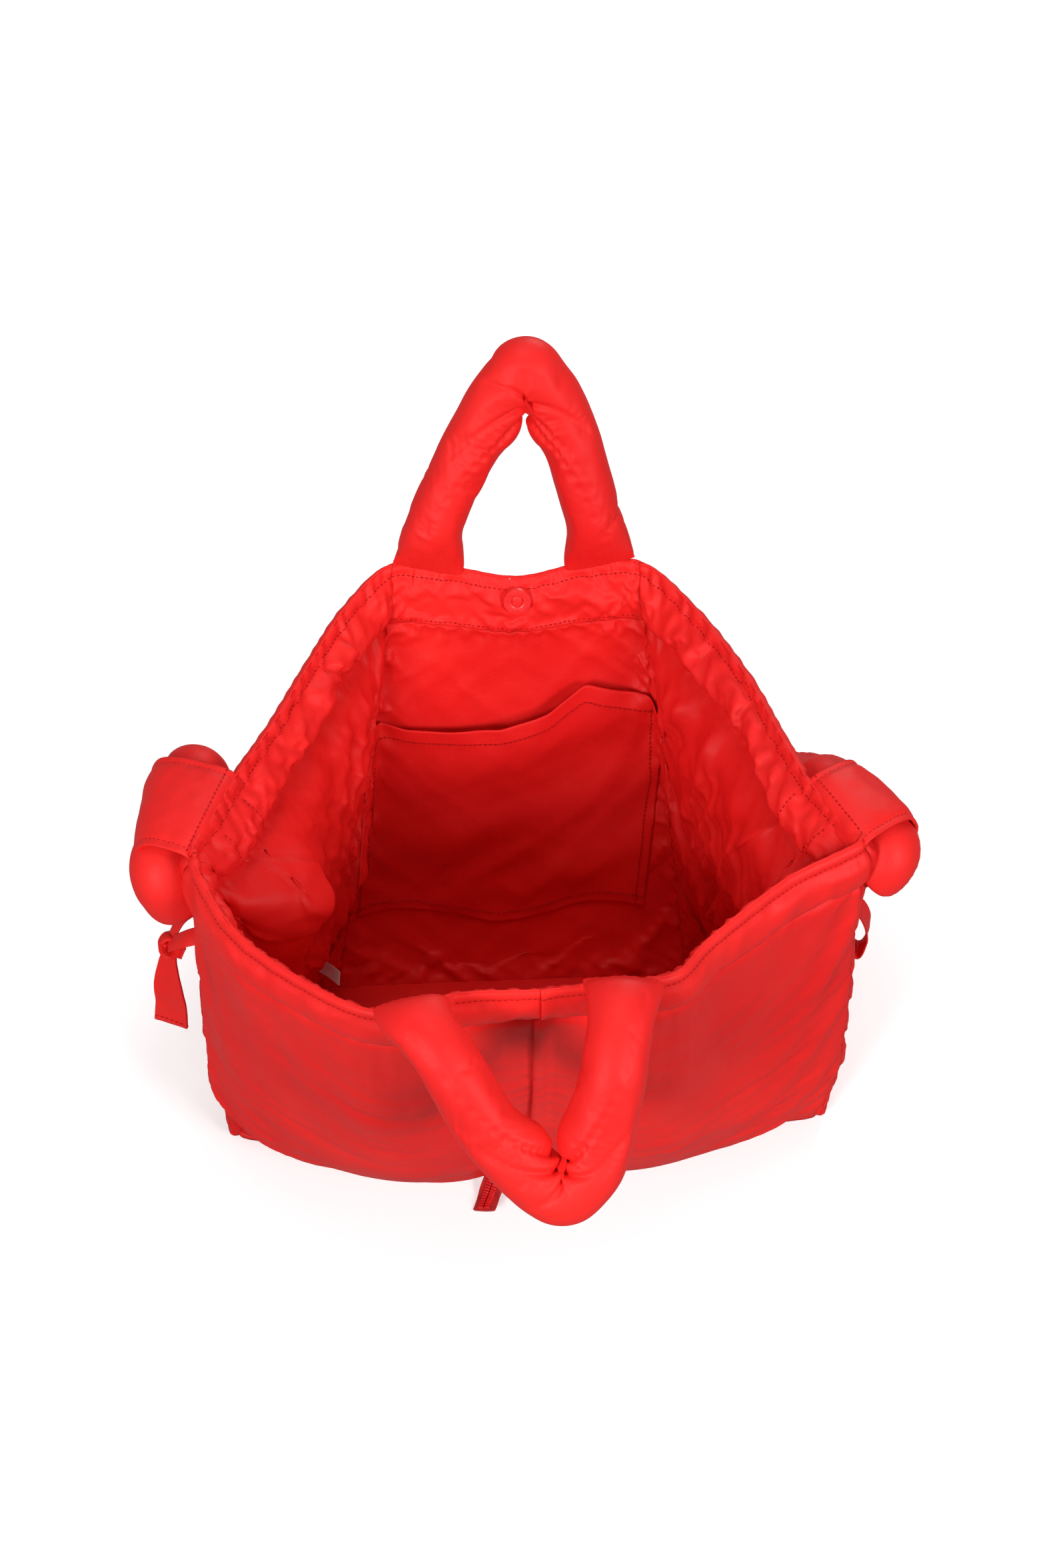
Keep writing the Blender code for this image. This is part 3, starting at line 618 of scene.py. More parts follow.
def inner_loop():
    """The lining and the facings as one closed grid, full of creases at the gussets."""
    u, v = np.meshgrid(np.arange(COLUMNS) * AROUND / COLUMNS, np.linspace(LINING_LOW, 1, INNER_ROWS))
    seams = near_seam(u, 0.15)
    stitch = hump((v - BAND_V) * HEIGHT, 0.004)
    hem_stitch = hump((1 - v) * HEIGHT - HEM_STITCH_DEPTH, 0.003)
    from_back = np.abs(u - AROUND / 2)
    side = np.interp(from_back, (1.98, 2.30, 3.40, 7.00, 8.60), (0.0, 0.45, 1.0, 1.0, 0.0))
    depth = (1 - v) * HEIGHT
    inset = (1 - side) * np.interp(depth, DEPTHS, FLAT_INSETS) + side * np.interp(depth, DEPTHS, SIDE_INSETS)
    billow = hump(from_back - 6.4, 0.9) * hump(depth - 0.082, 0.034)
    inset = inset + np.where(u > AROUND / 2, 0.026, 0.009) * billow
    points = wall(u, v, inset)
    normals = -grid_normals(points, closed=True)
    free = (1 - stitch) * (1 - hem_stitch) * ease((depth - 0.005) / 0.010)
    reach = along_hem()[None]
    facing = crumples(reach, depth, 0.015, 0.9, 31.0) + 0.5 * crumples(reach, depth, 0.010, -0.8, 33.0)
    hanging = crumples(reach, depth, 0.033, -0.8, 35.0) + 0.45 * crumples(reach, depth, 0.019, 1.0, 37.0)
    in_facing = ease((FACING_DEEP - depth) / 0.004)
    below_facing = (1 - in_facing) * 0.0065 * hanging * ease((depth - FACING_DEEP) / 0.03)
    rumple = in_facing * 0.0019 * facing + below_facing
    rumple = rumple * (0.4 + 0.6 * ease(0.55 + 0.9 * wobble(points, 13.0, 8.0)))
    rumple = rumple + 0.0020 * wobble(points, 45.0, 6.0)
    points = points + normals * (rumple * free * (0.30 + 0.70 * side))[..., None]
    amount = 0.06 + 0.94 * np.repeat(side[0], 2)
    pins = np.maximum(0.8 * seams**2, ease((v - 0.975) / 0.02))
    pins = np.maximum(pins, 0.9 * stitch)
    pins = np.maximum(pins, 0.7 * hem_stitch)
    pins = np.maximum(pins, 1.0 - ease((v - LINING_LOW) / 0.03))
    pins = np.clip(pins, 0.015, 1.0)
    moved = relax_cloth("inner_cloth", points[:, ::-1], pins[:, ::-1], 16, 0.09, 0.8, 0.5)[:, ::-1]
    moved = cap_move(points, moved, normals, -0.0035, 0.012, 0.008)
    return tucked(refined(moved), LINING_LOW, amount, 71.0)


def cut(points, u_from, u_to, row_from=0, row_to=None):
    """The columns between two seams, with the seam's own column at both sides."""
    columns = points.shape[1]
    first = round(u_from * columns / AROUND)
    last = round(u_to * columns / AROUND)
    picked = np.arange(first, last + 1) % columns
    return points[row_from:row_to, picked]


def lapped(points, panel):
    """The right front panel with its folded edge carried a little past the middle, over the zip."""
    rows = len(panel)
    v = np.linspace(0, 1, rows)[:, None]
    over = ease((v - 0.06) / 0.05) * ease((0.90 - v) / 0.04)
    normals = grid_normals(points, closed=True)
    extra = points[:, [-2]]
    step = panel[:, :1] + (extra - panel[:, :1]) * (0.05 + 0.95 * over)[..., None]
    raised = np.array([0.0030, 0.0036, 0.0034, 0.0024, 0.0010])
    panel = np.concatenate([step, panel], axis=1).copy()
    local = np.concatenate([normals[:, [-2]], normals[:, :4]], axis=1)
    panel[:, :5] += local * (raised[None] * (0.3 + 0.7 * over))[..., None]
    return panel


def make_shell():
    """Cuts the outer loop into its five padded panels."""
    points = outer_loop()
    shells = []
    pieces = {
        "outer_front_right": (0, SEAM_RIGHT),
        "outer_gusset_right": (SEAM_RIGHT, SEAM_BACK_RIGHT),
        "outer_back": (SEAM_BACK_RIGHT, SEAM_BACK_LEFT),
        "outer_gusset_left": (SEAM_BACK_LEFT, SEAM_LEFT),
        "outer_front_left": (SEAM_LEFT, AROUND),
    }
    for node, (u_from, u_to) in pieces.items():
        panel = cut(points, u_from, u_to)
        if node == "outer_front_right":
            panel = lapped(points, panel)
        obj = sheet_object(f"shell_{node}", panel, SHELL, 0.0016, smooth=False)
        attach(obj, "bag", "padded_nylon", node)
        shells.append(obj)
    return points, shells


def make_lining():
    """Cuts the inner loop into four linings, each with its facing above the stitched line."""
    points = inner_loop()
    row = int(np.argmin(np.abs(np.linspace(LINING_LOW, 1, len(points)) - BAND_V)))
    facings = []
    # First and last seam, flat width at the widest place and area of the lining, length of the facing
    panels = {
        "front": (SEAM_LEFT, SEAM_RIGHT + AROUND, 0.480, 0.1200, 0.500),
        "right": (SEAM_RIGHT, SEAM_BACK_RIGHT, 0.290, 0.0660, 0.315),
        "back": (SEAM_BACK_RIGHT, SEAM_BACK_LEFT, 0.250, 0.0580, 0.170),
        "left": (SEAM_BACK_LEFT, SEAM_LEFT, 0.290, 0.0640, 0.310),
    }
    for side, (u_from, u_to, width, area, hem_length) in panels.items():
        low = cut(points, u_from, u_to, 0, row + 1)
        high = cut(points, u_from, u_to, row)
        lining = sheet_object(f"lining_cloth_{side}", low, LINING, 0.0007, 1.0, smooth=False)
        facing = sheet_object(f"facing_cloth_{side}", high, SHELL, 0.0010, 1.0, smooth=False)
        attach(lining, "bag", "lining_nylon", f"lining_{side}")
        attach(facing, "bag", "padded_nylon", f"facing_{side}")
        facings.append(facing)
    return points, facings


def make_floor_of_bag():
    """The padded base and the lining over it, rumpled."""
    for name, node, z, inset, material, thickness, slot in (
        ("base_pad", "outer_base", 0.0008, 0.0085, SHELL, 0.005, "padded_nylon"),
        ("base_lining", "lining_base", 0.0085, 0.0125, LINING, 0.0008, "lining_nylon"),
    ):
        us = np.linspace(0, AROUND, 120, endpoint=False)
        rim = wall(us, np.full(us.shape, z / HEIGHT), np.full(us.shape, inset))
        centre = np.array([0.0, MID_Y, z])
        shares = np.linspace(0.02, 1.0, 36)[:, None, None]
        points = centre + (rim[None] - centre) * shares
        points[..., 2] = z
        if node == "lining_base":
            fade = 1 - shares[..., 0] ** 6
            ridge = hump(points[..., 1] - MID_Y + 0.012 - 0.18 * points[..., 0], 0.022)
            waves = 0.0035 * wobble(points, 16.0, 3.0) + 0.0020 * wobble(points, 45.0, 4.0)
            points[..., 2] += fade * (0.004 + 0.016 * ridge + waves)
        rows, columns = points.shape[:2]
        faces = [tuple(f) for f in grid_faces(rows, columns, True)]
        verts = np.vstack([points.reshape(-1, 3), [centre + (0, 0, points[0, :, 2].mean() - z)]])
        faces += [(j, len(verts) - 1, (j + 1) % columns) for j in range(columns)]
        obj = mesh_object(name, verts, faces, material)
        thicken(obj, thickness, -1.0)
        attach(obj, "bag", slot, node)


# Stitches


STITCH_LENGTH, STITCH_PITCH, STITCH_RADIUS = 0.0024, 0.0034, 0.00045


# Rings of one thread: share of its length, share of its radius, radii above the cloth
STITCH_RINGS = ((0.0, 0.45, -0.5), (0.2, 1.0, 0.35), (0.8, 1.0, 0.35), (1.0, 0.45, -0.5))


def stitches(name, lines, body, sink=0.0001):
    """Short raised threads along pairs of a line's points and their normals."""
    verts, faces = [], []
    sides = 6
    for points, normals in lines:
        normals = unit(normals)
        at = run_of(points)
        for k in range(int(at[-1] / STITCH_PITCH)):
            middle = (k + 0.5) * STITCH_PITCH
            first, last = (point_at(middle + d, at, points) for d in (-STITCH_LENGTH / 2, STITCH_LENGTH / 2))
            up = unit(point_at(middle, at, normals))
            across = np.cross(up, unit(last - first))
            for share, size, lift in STITCH_RINGS:
                centre = first + (last - first) * share + up * (STITCH_RADIUS * lift - sink)
                for i in range(sides):
                    a = 2 * math.pi * i / sides
                    verts.append(centre + STITCH_RADIUS * size * (across * math.cos(a) + up * math.sin(a)))
            start = len(verts) - 4 * sides
            for ring in range(3):
                for i in range(sides):
                    j = (i + 1) % sides
                    low, high = start + ring * sides, start + (ring + 1) * sides
                    faces.append((low + i, low + j, high + j, high + i))
            faces.append(tuple(start + i for i in reversed(range(sides))))
            faces.append(tuple(start + 3 * sides + i for i in range(sides)))
    obj = mesh_object(name, verts, faces, THREAD)
    if body:
        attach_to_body(obj, body)
    return obj


def final_surface(objects):
    """A search tree over the finished meshes of some pieces."""
    graph = bpy.context.evaluated_depsgraph_get()
    verts, faces = [], []
    for obj in objects:
        mesh = obj.evaluated_get(graph).to_mesh()
        start = len(verts)
        verts += [v.co.copy() for v in mesh.vertices]
        faces += [[start + i for i in face.vertices] for face in mesh.polygons]
    return BVHTree.FromPolygons(verts, faces)


def on_surface(tree, points, normals, reach=0.012):
    """The points moved along their normals onto a finished surface."""
    result = []
    for point, normal in zip(points, normals, strict=True):
        hit = tree.ray_cast(Vector(point + normal * reach), -Vector(normal), 2 * reach)[0]
        result.append(point if hit is None else np.array(hit))
    return np.array(result), normals


# Where each side loop is sewn through the facing, in stations
LOOP_CROSSINGS = (6.0, 7.0, 19.2, 20.1)


def row_lines(tree, points, facing, depths):
    """Lines round a settled loop at the given depths below the mouth, on the finished surface."""
    normals = facing * grid_normals(points, closed=True)
    low = LINING_LOW if facing < 0 else 0.0
    rows = (1 - np.array(depths) / HEIGHT - low) / (1 - low) * (len(points) - 1)
    round_all = np.arange(points.shape[1] + 1) % points.shape[1]
    lines = []
    for row in rows:
        below, share = int(row), row - int(row)
        line = points[below, round_all] * (1 - share) + points[below + 1, round_all] * share
        lines.append(on_surface(tree, line, normals[below, round_all]))
    return lines, normals


def make_shell_stitches(outer, inner, shells, facings):
    """Rows of stitches round the mouth, inside and outside, and across the facing at the side loops."""
    tree = final_surface(facings)
    lines, normals = row_lines(tree, inner, -1, (HEM_STITCH_DEPTH, FACING_DEEP - 0.002))
    rows = np.linspace(LINING_LOW, 1, len(inner))
    picked = (rows > BAND_V + 0.002 / HEIGHT) & (rows < 1 - HEM_STITCH_DEPTH / HEIGHT)
    for u in LOOP_CROSSINGS:
        column = round(u * inner.shape[1] / AROUND)
        lines.append(on_surface(tree, inner[picked, column], normals[picked, column]))
    stitches("stitches_inside", lines, "bag")
    lines, _ = row_lines(final_surface(shells), outer, 1, (HEM_STITCH_DEPTH, FACING_DEEP))
    stitches("stitches_outside", lines, "bag")


# Pocket, label and snap


def surface_tree(points):
    """A search tree over a closed grid of points."""
    faces = grid_faces(*points.shape[:2], True).tolist()
    return BVHTree.FromPolygons([Vector(p) for p in points.reshape(-1, 3)], faces)


def drop_on(tree, points, direction):
    """Moves points along `direction` onto a surface."""
    points = np.asarray(points)
    direction = Vector(direction).normalized()
    result = []
    for point in points.reshape(-1, 3):
        hit = tree.ray_cast(Vector(point), direction)[0]
        result.append(point if hit is None else np.array(hit))
    return np.array(result).reshape(points.shape)


def pocket_surface(tree):
    """The patch: flat at its sewn edges, gaping and sagging at its mouth, with drag lines."""
    s, t = np.meshgrid(np.linspace(0, 1, 64), np.linspace(0, 1, 46))
    left, right = -0.121 + 0.021 * t, 0.085 + 0.009 * np.minimum(t / 0.6, 1.0)
    x = left + (right - left) * s
    heights = (0.208, 0.202, 0.206, 0.218, 0.235, 0.226, 0.224)
    top = np.interp(s, (0, 0.12, 0.45, 0.62, 0.74, 0.88, 1.0), heights)
    bottom = 0.055 + 0.006 * np.sin(9.0 * s)
    z = bottom + (top - bottom) * t
    start = np.stack([x, np.zeros_like(x), z], axis=-1)
    on = drop_on(tree, start, (0, 1, 0))
    hold = np.sin(np.pi * s) ** 0.7
    gape = 0.013 * hold * t**1.5
    folds = 0.0025 * hold * np.sin(9.0 * (z - 0.35 * x) * 12.0) * ease(t / 0.2) * (1 - 0.5 * t)
    lift = 0.0016 + gape + np.maximum(folds, -0.001)
    lift = lift + 0.0022 * hold * (wobble(start, 26.0, 5.0) + 0.5) * ease(t / 0.2)
    on[..., 1] -= lift
    return on


def make_pocket(tree):
    points = pocket_surface(tree)
    obj = sheet_object("pocket_patch", points, LINING, 0.0009)
    attach(obj, "bag", "lining_nylon", "slip_pocket")
    normals = grid_normals(points)
    normals *= np.sign(-normals[..., 1:2])
    lines = [(points[:, k], normals[:, k]) for k in (2, -3)]
    lines += [(points[k], normals[k]) for k in (2, -4)]
    stitches("stitches_pocket", lines, "bag", sink=-0.0008)


# Radius and height of the disc from its middle to its rim and round to its back
SNAP_PROFILE = ((0.0, 0.0016), (0.0026, 0.0016), (0.0034, 0.0013), (0.0040, 0.0032), (0.0048, 0.0036),
                (0.0066, 0.0035), (0.0074, 0.0036), (0.0088, 0.0034), (0.0092, 0.0026), (0.0092, -0.004),
                (0.006, -0.006), (0.0, -0.006))


def make_snap(tree):
    """Painted discs with a raised rim and a dimple, on the back and the front facing."""
    for side, facing, lean, drop in (
        ("back", -1.0, BACK_LEAN, 0.004),
        ("front", 1.0, BACK_LEAN * 0.75, 0.016),
    ):
        node = f"snap_disc_{side}"
        low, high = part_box(node)
        start = np.array([(low[0] + high[0]) / 2, 0.0, (low[2] + high[2]) / 2 - drop])
        centre = drop_on(tree, start, (0.0, -facing, 0.0))
        axis = np.array([0.0, facing * math.cos(lean), math.sin(lean)])
        obj = turned(f"snap_{side}", SNAP_PROFILE, centre + axis * 0.0020, axis, PAINT)
        attach(obj, "bag", "painted_snap", node, f"snap_magnet_{side}")


def turned(name, profile, centre, axis, material, sides=48):
    """A turned solid from (radius, height) pairs along `axis`."""
    axis = unit(axis)
    first = unit(np.cross(axis, (1.0, 0.0, 0.0)))
    second = np.cross(axis, first)
    verts, rings, faces = [], [], []
    for r, h in profile:
        ring = []
        for i in range(1 if r == 0 else sides):
            a = 2 * math.pi * i / sides
            ring.append(len(verts))
            verts.append(centre + axis * h + r * (first * math.cos(a) + second * math.sin(a)))
        rings.append(ring)
    for low, high in zip(rings, rings[1:], strict=False):
        for i in range(sides):
            j = (i + 1) % sides
            corners = (low[i % len(low)], low[j % len(low)], high[j % len(high)], high[i % len(high)])
            faces.append(tuple(dict.fromkeys(corners)))
    obj = mesh_object(name, verts, faces, material)
    obj.data.set_sharp_from_angle(angle=math.radians(35))
    return obj


def make_label(tree):
    """A blank label that stands out from the left lining near the base."""
    s, t = np.meshgrid(np.linspace(0, 1, 10), np.linspace(0, 1, 14))
    root = drop_on(tree, (-0.100, 0.030, 0.060), (-1.0, 0.0, 0.0)) + (0.0005, 0.0, 0.0)
    along, up = np.array([0.72, -0.55, -0.10]), np.array([0.10, 0.62, 0.78])
    on = root + 0.027 * s[..., None] * along + 0.010 * t[..., None] * up
    on = on + 0.0022 * np.sin(3.0 * s)[..., None] * np.array([0.5, 0.6, -0.5])
    obj = sheet_object("blank_label", on, LABEL, 0.0005)
    attach(obj, "bag", "blank_label", "care_label")


# Puffy tubes


def tube_grid(path, radius, up, sides=48, flatten=None):
    """Rings round a path. `radius` is one value a ring; `flatten` is the share of it kept along `up`."""
    tangent = tangents(path)
    across = unit(np.cross(tangent, up))
    normal = np.cross(across, tangent)
    a = np.linspace(0, 2 * math.pi, sides, endpoint=False)[None, :, None]
    flatten = np.ones(len(path)) if flatten is None else flatten
    ring = across[:, None] * np.cos(a) - normal[:, None] * np.sin(a) * flatten[:, None, None]
    return path[:, None] + ring * radius[:, None, None]


def puff(name, points, pins, grow, pressure, cap, frames):
    """Swells a closed tube as cloth, so that it creases where it is bent."""
    moved = relax_cloth(name, points, pins, frames, grow, pressure, 0.0)
    return cap_move(points, moved, grid_normals(points, closed=True), -cap, cap, cap)


def tube_object(name, points):
    """A tube of the shell's cloth from rings of points, with its ends closed."""
    rows, columns = points.shape[:2]
    faces = [tuple(f) for f in grid_faces(rows, columns, True)]
    verts = np.vstack([points.reshape(-1, 3), [points[0].mean(axis=0), points[-1].mean(axis=0)]])
    last = (rows - 1) * columns
    faces += [(rows * columns, (j + 1) % columns, j) for j in range(columns)]
    faces += [(rows * columns + 1, last + j, last + (j + 1) % columns) for j in range(columns)]
    obj = mesh_object(name, verts, faces, SHELL)
    bm = bmesh.new()
    bm.from_mesh(obj.data)
    bmesh.ops.recalc_face_normals(bm, faces=bm.faces)
    bm.to_mesh(obj.data)
    bm.free()
    obj.data.shade_smooth()
    subdivide(obj)
    return obj


HANDLE_PIVOT_Z = HEIGHT + 0.0045


def bent_sheet(s, start, end, bend):
    """How far out and down a point at distance s along the handle's side profile lies."""
    if bend == 0:
        return s * math.cos(start), s * math.sin(start)
    rate = (end - start) / bend
    inside = np.minimum(s, bend)
    angle = start + rate * inside
    out = (np.sin(angle) - math.sin(start)) / rate
    down = (math.cos(start) - np.cos(angle)) / rate
    rest = np.maximum(s - bend, 0)
    return out + rest * np.cos(angle), down + rest * np.sin(angle)


HANDLE_RADIUS, HANDLE_FOOT_HALF = 0.0184, 0.0232


def make_handle(place, facing, outline, start, end, bend, creases, shift, point):
    """A stuffed handle from its flat outline of (across, along) points, pinched where it bends over.

    It leaves the hem at the angle `start` below level and turns to `end` over its first `bend` metres.
    `creases` are (place along the handle, turn round it, depth) of the short folds at its inner side,
    `shift` moves its feet apart, and `point` is how far the cloth comes to a point outside the bend.
    """
    name = f"{place}_handle_cover"
    pivot_y = pivot(f"{place}_handle_swing")[1]
    flat = even(spline([(*p, 0.0) for p in outline], 400), 200)
    x, s = flat[:, 0], np.maximum(flat[:, 1], 0.0)
    out, down = bent_sheet(s, start, end, bend)
    lean = shift * (1 - ease(s / 0.06)) * np.sign(x)
    sunk = 0.0060 * (1 - ease(s / 0.02))
    path = np.stack([x, pivot_y + facing * out + lean, HANDLE_PIVOT_Z - down - sunk], axis=1)
    ahead_out, ahead_down = bent_sheet(s + 0.002, start, end, bend)
    along = unit(np.stack([np.zeros_like(s), facing * (ahead_out - out), down - ahead_down], axis=1))
    root = ease(s / 0.034)
    radius = HANDLE_FOOT_HALF + (HANDLE_RADIUS - HANDLE_FOOT_HALF) * root
    up = np.cross((facing, 0.0, 0.0), along)
    points = tube_grid(path, radius, up, flatten=0.10 + 0.90 * np.sqrt(root))
    sides = points.shape[1]
    angle = np.linspace(0, 2 * math.pi, sides, endpoint=False)[None, :]
    ring = angle - (0.0 if points[5, 0, 0] > points[5, sides // 2, 0] else math.pi)
    distance = run_of(path)[:, None]
    distance = distance - distance[np.argmax(s)]
    relief = np.zeros(points.shape[:2])
    for along_it, turn, depth in creases:
        away = (ring - turn + math.pi) % (2 * math.pi) - math.pi
        slant = distance - along_it - 1.1 * along_it * away**2
        relief -= 1.3 * depth * hump(slant, 0.0028) * hump(away, 1.30)
    inside = (ring + math.pi) % (2 * math.pi) - math.pi
    relief += 0.0045 * hump(np.abs(distance) - 0.038, 0.015) * hump(inside, 0.8)
    outside = ring % (2 * math.pi) - math.pi
    relief += point * hump(distance, 0.0075) * hump(outside, 0.9)
    relief = relief + 0.0007 * (np.sin(angle * 23.0) * hump(s[:, None], 0.010))
    relief = relief + 0.0010 * wobble(points, 22.0, 8.0) + 0.0003 * wobble(points, 75.0, 9.0)
    points = points + grid_normals(points, closed=True) * relief[..., None]
    pins = np.repeat((1 - ease(s / 0.005))[:, None], sides, axis=1)
    pins = np.clip(np.maximum(pins, -70.0 * relief), 0.02, 1.0)
    obj = tube_object(name, puff(name, points, pins, 0.03, 2.5, 0.0014, 14))
    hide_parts(f"handle_{place}_sleeve", f"handle_{place}_filling")
    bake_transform(obj)


BACK_OUTLINE = (
    (-0.0575, 0.000), (-0.0500, 0.030), (-0.0320, 0.069), (-0.0195, 0.093), (-0.0080, 0.113),
    (0.0070, 0.1255), (0.0215, 0.114), (0.0310, 0.093), (0.0390, 0.067), (0.0495, 0.027), (0.0545, 0.000),
)
FRONT_OUTLINE = (
    (-0.0730, 0.0000), (-0.0695, 0.0180), (-0.0508, 0.0490), (-0.0307, 0.0855), (-0.0127, 0.1085),
    (0.0005, 0.1205), (0.0120, 0.1225), (0.0232, 0.1115), (0.0286, 0.0960), (0.0343, 0.0690),
    (0.0397, 0.0435), (0.0455, 0.0150), (0.0470, 0.0000),
)
# (metres from the tip along the middle line, radians round from the inner side, metres deep)
BACK_CREASES = (
    (-0.020, 0.10, 0.0050), (-0.011, -0.10, 0.0060), (-0.002, 0.10, 0.0055), (0.007, -0.10, 0.0050),
    (0.015, 0.15, 0.0060), (0.024, 0.00, 0.0040),
)
FRONT_CREASES = (
    (-0.021, 0.00, 0.0045), (-0.011, 0.15, 0.0060), (-0.002, -0.10, 0.0060), (0.008, 0.10, 0.0055),
    (0.017, -0.05, 0.0045),
)
BACK_RISE = math.radians(90 - 20)
FRONT_START, FRONT_END = math.radians(-5), math.radians(56)


def make_handles():
    make_handle("back", 1.0, BACK_OUTLINE, -BACK_RISE, -BACK_RISE, 0.0, BACK_CREASES, 0.0, 0.0062)
    make_handle("front", -1.0, FRONT_OUTLINE, FRONT_START, FRONT_END, 0.060, FRONT_CREASES, 0.005, 0.0015)


# Side loops and strap


# Corners of each loop's top, seen from above: over the hem at its back and front, then at its far edge
LOOP_CORNERS = {
    1: ((0.171, -0.024), (0.197, -0.077), (0.203, -0.003), (0.234, -0.049)),
    -1: ((-0.180, -0.004), (-0.204, -0.069), (-0.230, 0.018), (-0.238, -0.052)),
}
LOOP_REACH, LOOP_TOP = 0.047, 0.306
# The loop's outline seen from its end: share of the reach, metres below its top
LOOP_PROFILE = (
    (-0.16, -0.0060), (-0.05, 0.0025), (0.10, 0.0050), (0.30, 0.0048), (0.62, 0.0020), (0.86, -0.0040),
    (1.00, -0.0170), (0.97, -0.0320), (0.74, -0.0430), (0.42, -0.0465), (0.12, -0.0440),
)


def loop_lines(side, t):
    """The points over the hem and at the far edge, for t from -1 at the back to 1 at the front."""
    hem_back, hem_front, far_back, far_front = (np.array(p) for p in LOOP_CORNERS[side])
    share = (np.asarray(t)[..., None] + 1) / 2
    return hem_back + (hem_front - hem_back) * share, far_back + (far_front - far_back) * share


def make_side_loop(side, name):
    """A flat band round the strap, with a row of stitches near each edge and one over the hem."""
    profile = even(spline([(r * LOOP_REACH, 0.0, z) for r, z in LOOP_PROFILE], 300), 84)
    t = np.linspace(-1, 1, 29)
    hem, far = loop_lines(side, t)
    share, z = profile[:, 0] / LOOP_REACH, LOOP_TOP + profile[:, 2]
    plan = hem[None] + (far - hem)[None] * share[:, None, None]
    points = np.concatenate([plan, np.broadcast_to(z[:, None, None], (*plan.shape[:2], 1))], axis=-1)
    normals = grid_normals(points)
    middle = points[20:].mean(axis=(0, 1))
    flip = np.sign(np.sum(normals[20:] * (points[20:] - middle), axis=-1).mean())
    normals = normals * flip
    edge = np.abs(t)[None, :]
    crown = 0.0026 * (1 - edge**3) - 0.0012 * hump(edge - 0.86, 0.05)
    rumple = 0.0010 * wobble(points, 40.0, 11.0 + side) + 0.0006 * wobble(points, 110.0, 13.0)
    round_it = np.linspace(0, 1, len(profile))[:, None]
    lower, inside = ease((round_it - 0.60) / 0.2), ease(round_it / 0.12)
    points = points + normals * (crown * inside + rumple * (1 + 1.5 * lower))[..., None]
    obj = sheet_object(name, points, SHELL, 0.0022, offset=-flip)
    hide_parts(f"side_loop_{'right' if side > 0 else 'left'}")
    lines = [(points[:, k], normals[:, k]) for k in (2, -3)]
    over_hem = int(np.argmin(np.abs(share - 0.03) + (np.arange(len(share)) > 40)))
    lines.append((points[over_hem], normals[over_hem]))
    thread = stitches(f"stitches_{name}", lines, None)
    for piece in (obj, thread):
        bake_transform(piece)


STRAP_DROP = math.radians(41.5)
STRAP_Z = LOOP_TOP - 0.0215


def behind(x, reach):
    """A point of the strap's arc behind the bag, `reach` away from its pivot."""
    y = pivot("strap_swing")[1] + reach * math.cos(STRAP_DROP)
    return np.array([x, y, STRAP_Z - reach * math.sin(STRAP_DROP)])


def strap_half(side):
    """The strap's middle line from its front end, through the loop and down behind the bag."""
    hem, far = loop_lines(side, np.array([-1.0, 0.0, 1.0]))
    back, middle, front = (np.append(h + (f - h) * 0.52, STRAP_Z) for h, f in zip(hem, far, strict=True))
    along = unit(front - back)
    away = np.append(unit(far[1] - hem[1]), 0.0)
    down = np.array([0.0, 0.0, -1.0])
    hang = 0.016 if side > 0 else 0.027
    half = [
        front - away * 0.010 - along * 0.008 + down * hang,
        front - away * 0.004 - along * 0.002 + down * hang / 2,
        front - along * 0.006 + down * 0.003,
        front - along * 0.020,
        middle,
        back + along * 0.010,
        back - along * 0.012 + down * 0.006,
    ]
    arc = ((0.210, 0.100), (0.200, 0.165), (0.168, 0.250), (0.112, 0.335), (0.052, 0.380))
    return half + [behind(side * x, reach) for x, reach in arc]


def make_strap():
    route = [*strap_half(1), behind(0.0, 0.390), *reversed(strap_half(-1))]
    path = even(spline(route, 1200), 380)
    steps = run_of(path)
    ends = np.minimum(steps, steps[-1] - steps)
    in_loop = np.exp(-(((ends - 0.070) / 0.030) ** 4))
    radius = 0.0200 - 0.0030 * in_loop
    radius = radius * np.sqrt(np.clip(1.04 - (1 - ends / 0.009).clip(0, 1) ** 2, 0.05, 1))
    points = tube_grid(path, radius, np.array([0.0, 0.0, 1.0]), sides=32)
    normals = grid_normals(points, closed=True)
    near_end = hump(ends, 0.05)[:, None]
    gathers = 0.0012 * np.sin(steps * 700.0)[:, None] * near_end * wobble(points, 30.0, 15.0)
    points = points + normals * (gathers + 0.0010 * wobble(points, 30.0, 16.0))[..., None]
    pins = np.clip(0.6 * np.repeat(in_loop[:, None], 32, axis=1), 0.01, 1)
    name = "shoulder_strap_cover"
    obj = tube_object(name, puff(name, points, pins, 0.06, 2.0, 0.0035, 12))
    attach(obj, "strap", "padded_nylon", "shoulder_strap")


# Ties


def ribbon(name, path, across, width, thickness, body, replaced, material=SHELL):
    """A narrow cupped strip along a path; returns its points and its normal at each step of the path."""
    path = even(spline(path, 200), 48)
    tangent = tangents(path)
    across = unit(np.asarray(across) - tangent * np.sum(tangent * across, axis=1, keepdims=True))
    normal = np.cross(across, tangent)
    t = np.linspace(-0.5, 0.5, 9)
    width = np.broadcast_to(width, (len(path),))
    points = path[:, None] + across[:, None] * (t[None, :] * width[:, None])[..., None]
    cup = 0.0010 * np.cos(np.pi * t)[None, :, None] * normal[:, None]
    points = points + cup + 0.0008 * (wobble(points, 90.0, 17.0))[..., None] * normal[:, None]
    obj = sheet_object(name, points, material, thickness, offset=0.0)
    attach(obj, body, "padded_nylon", *replaced)
    return points, normal


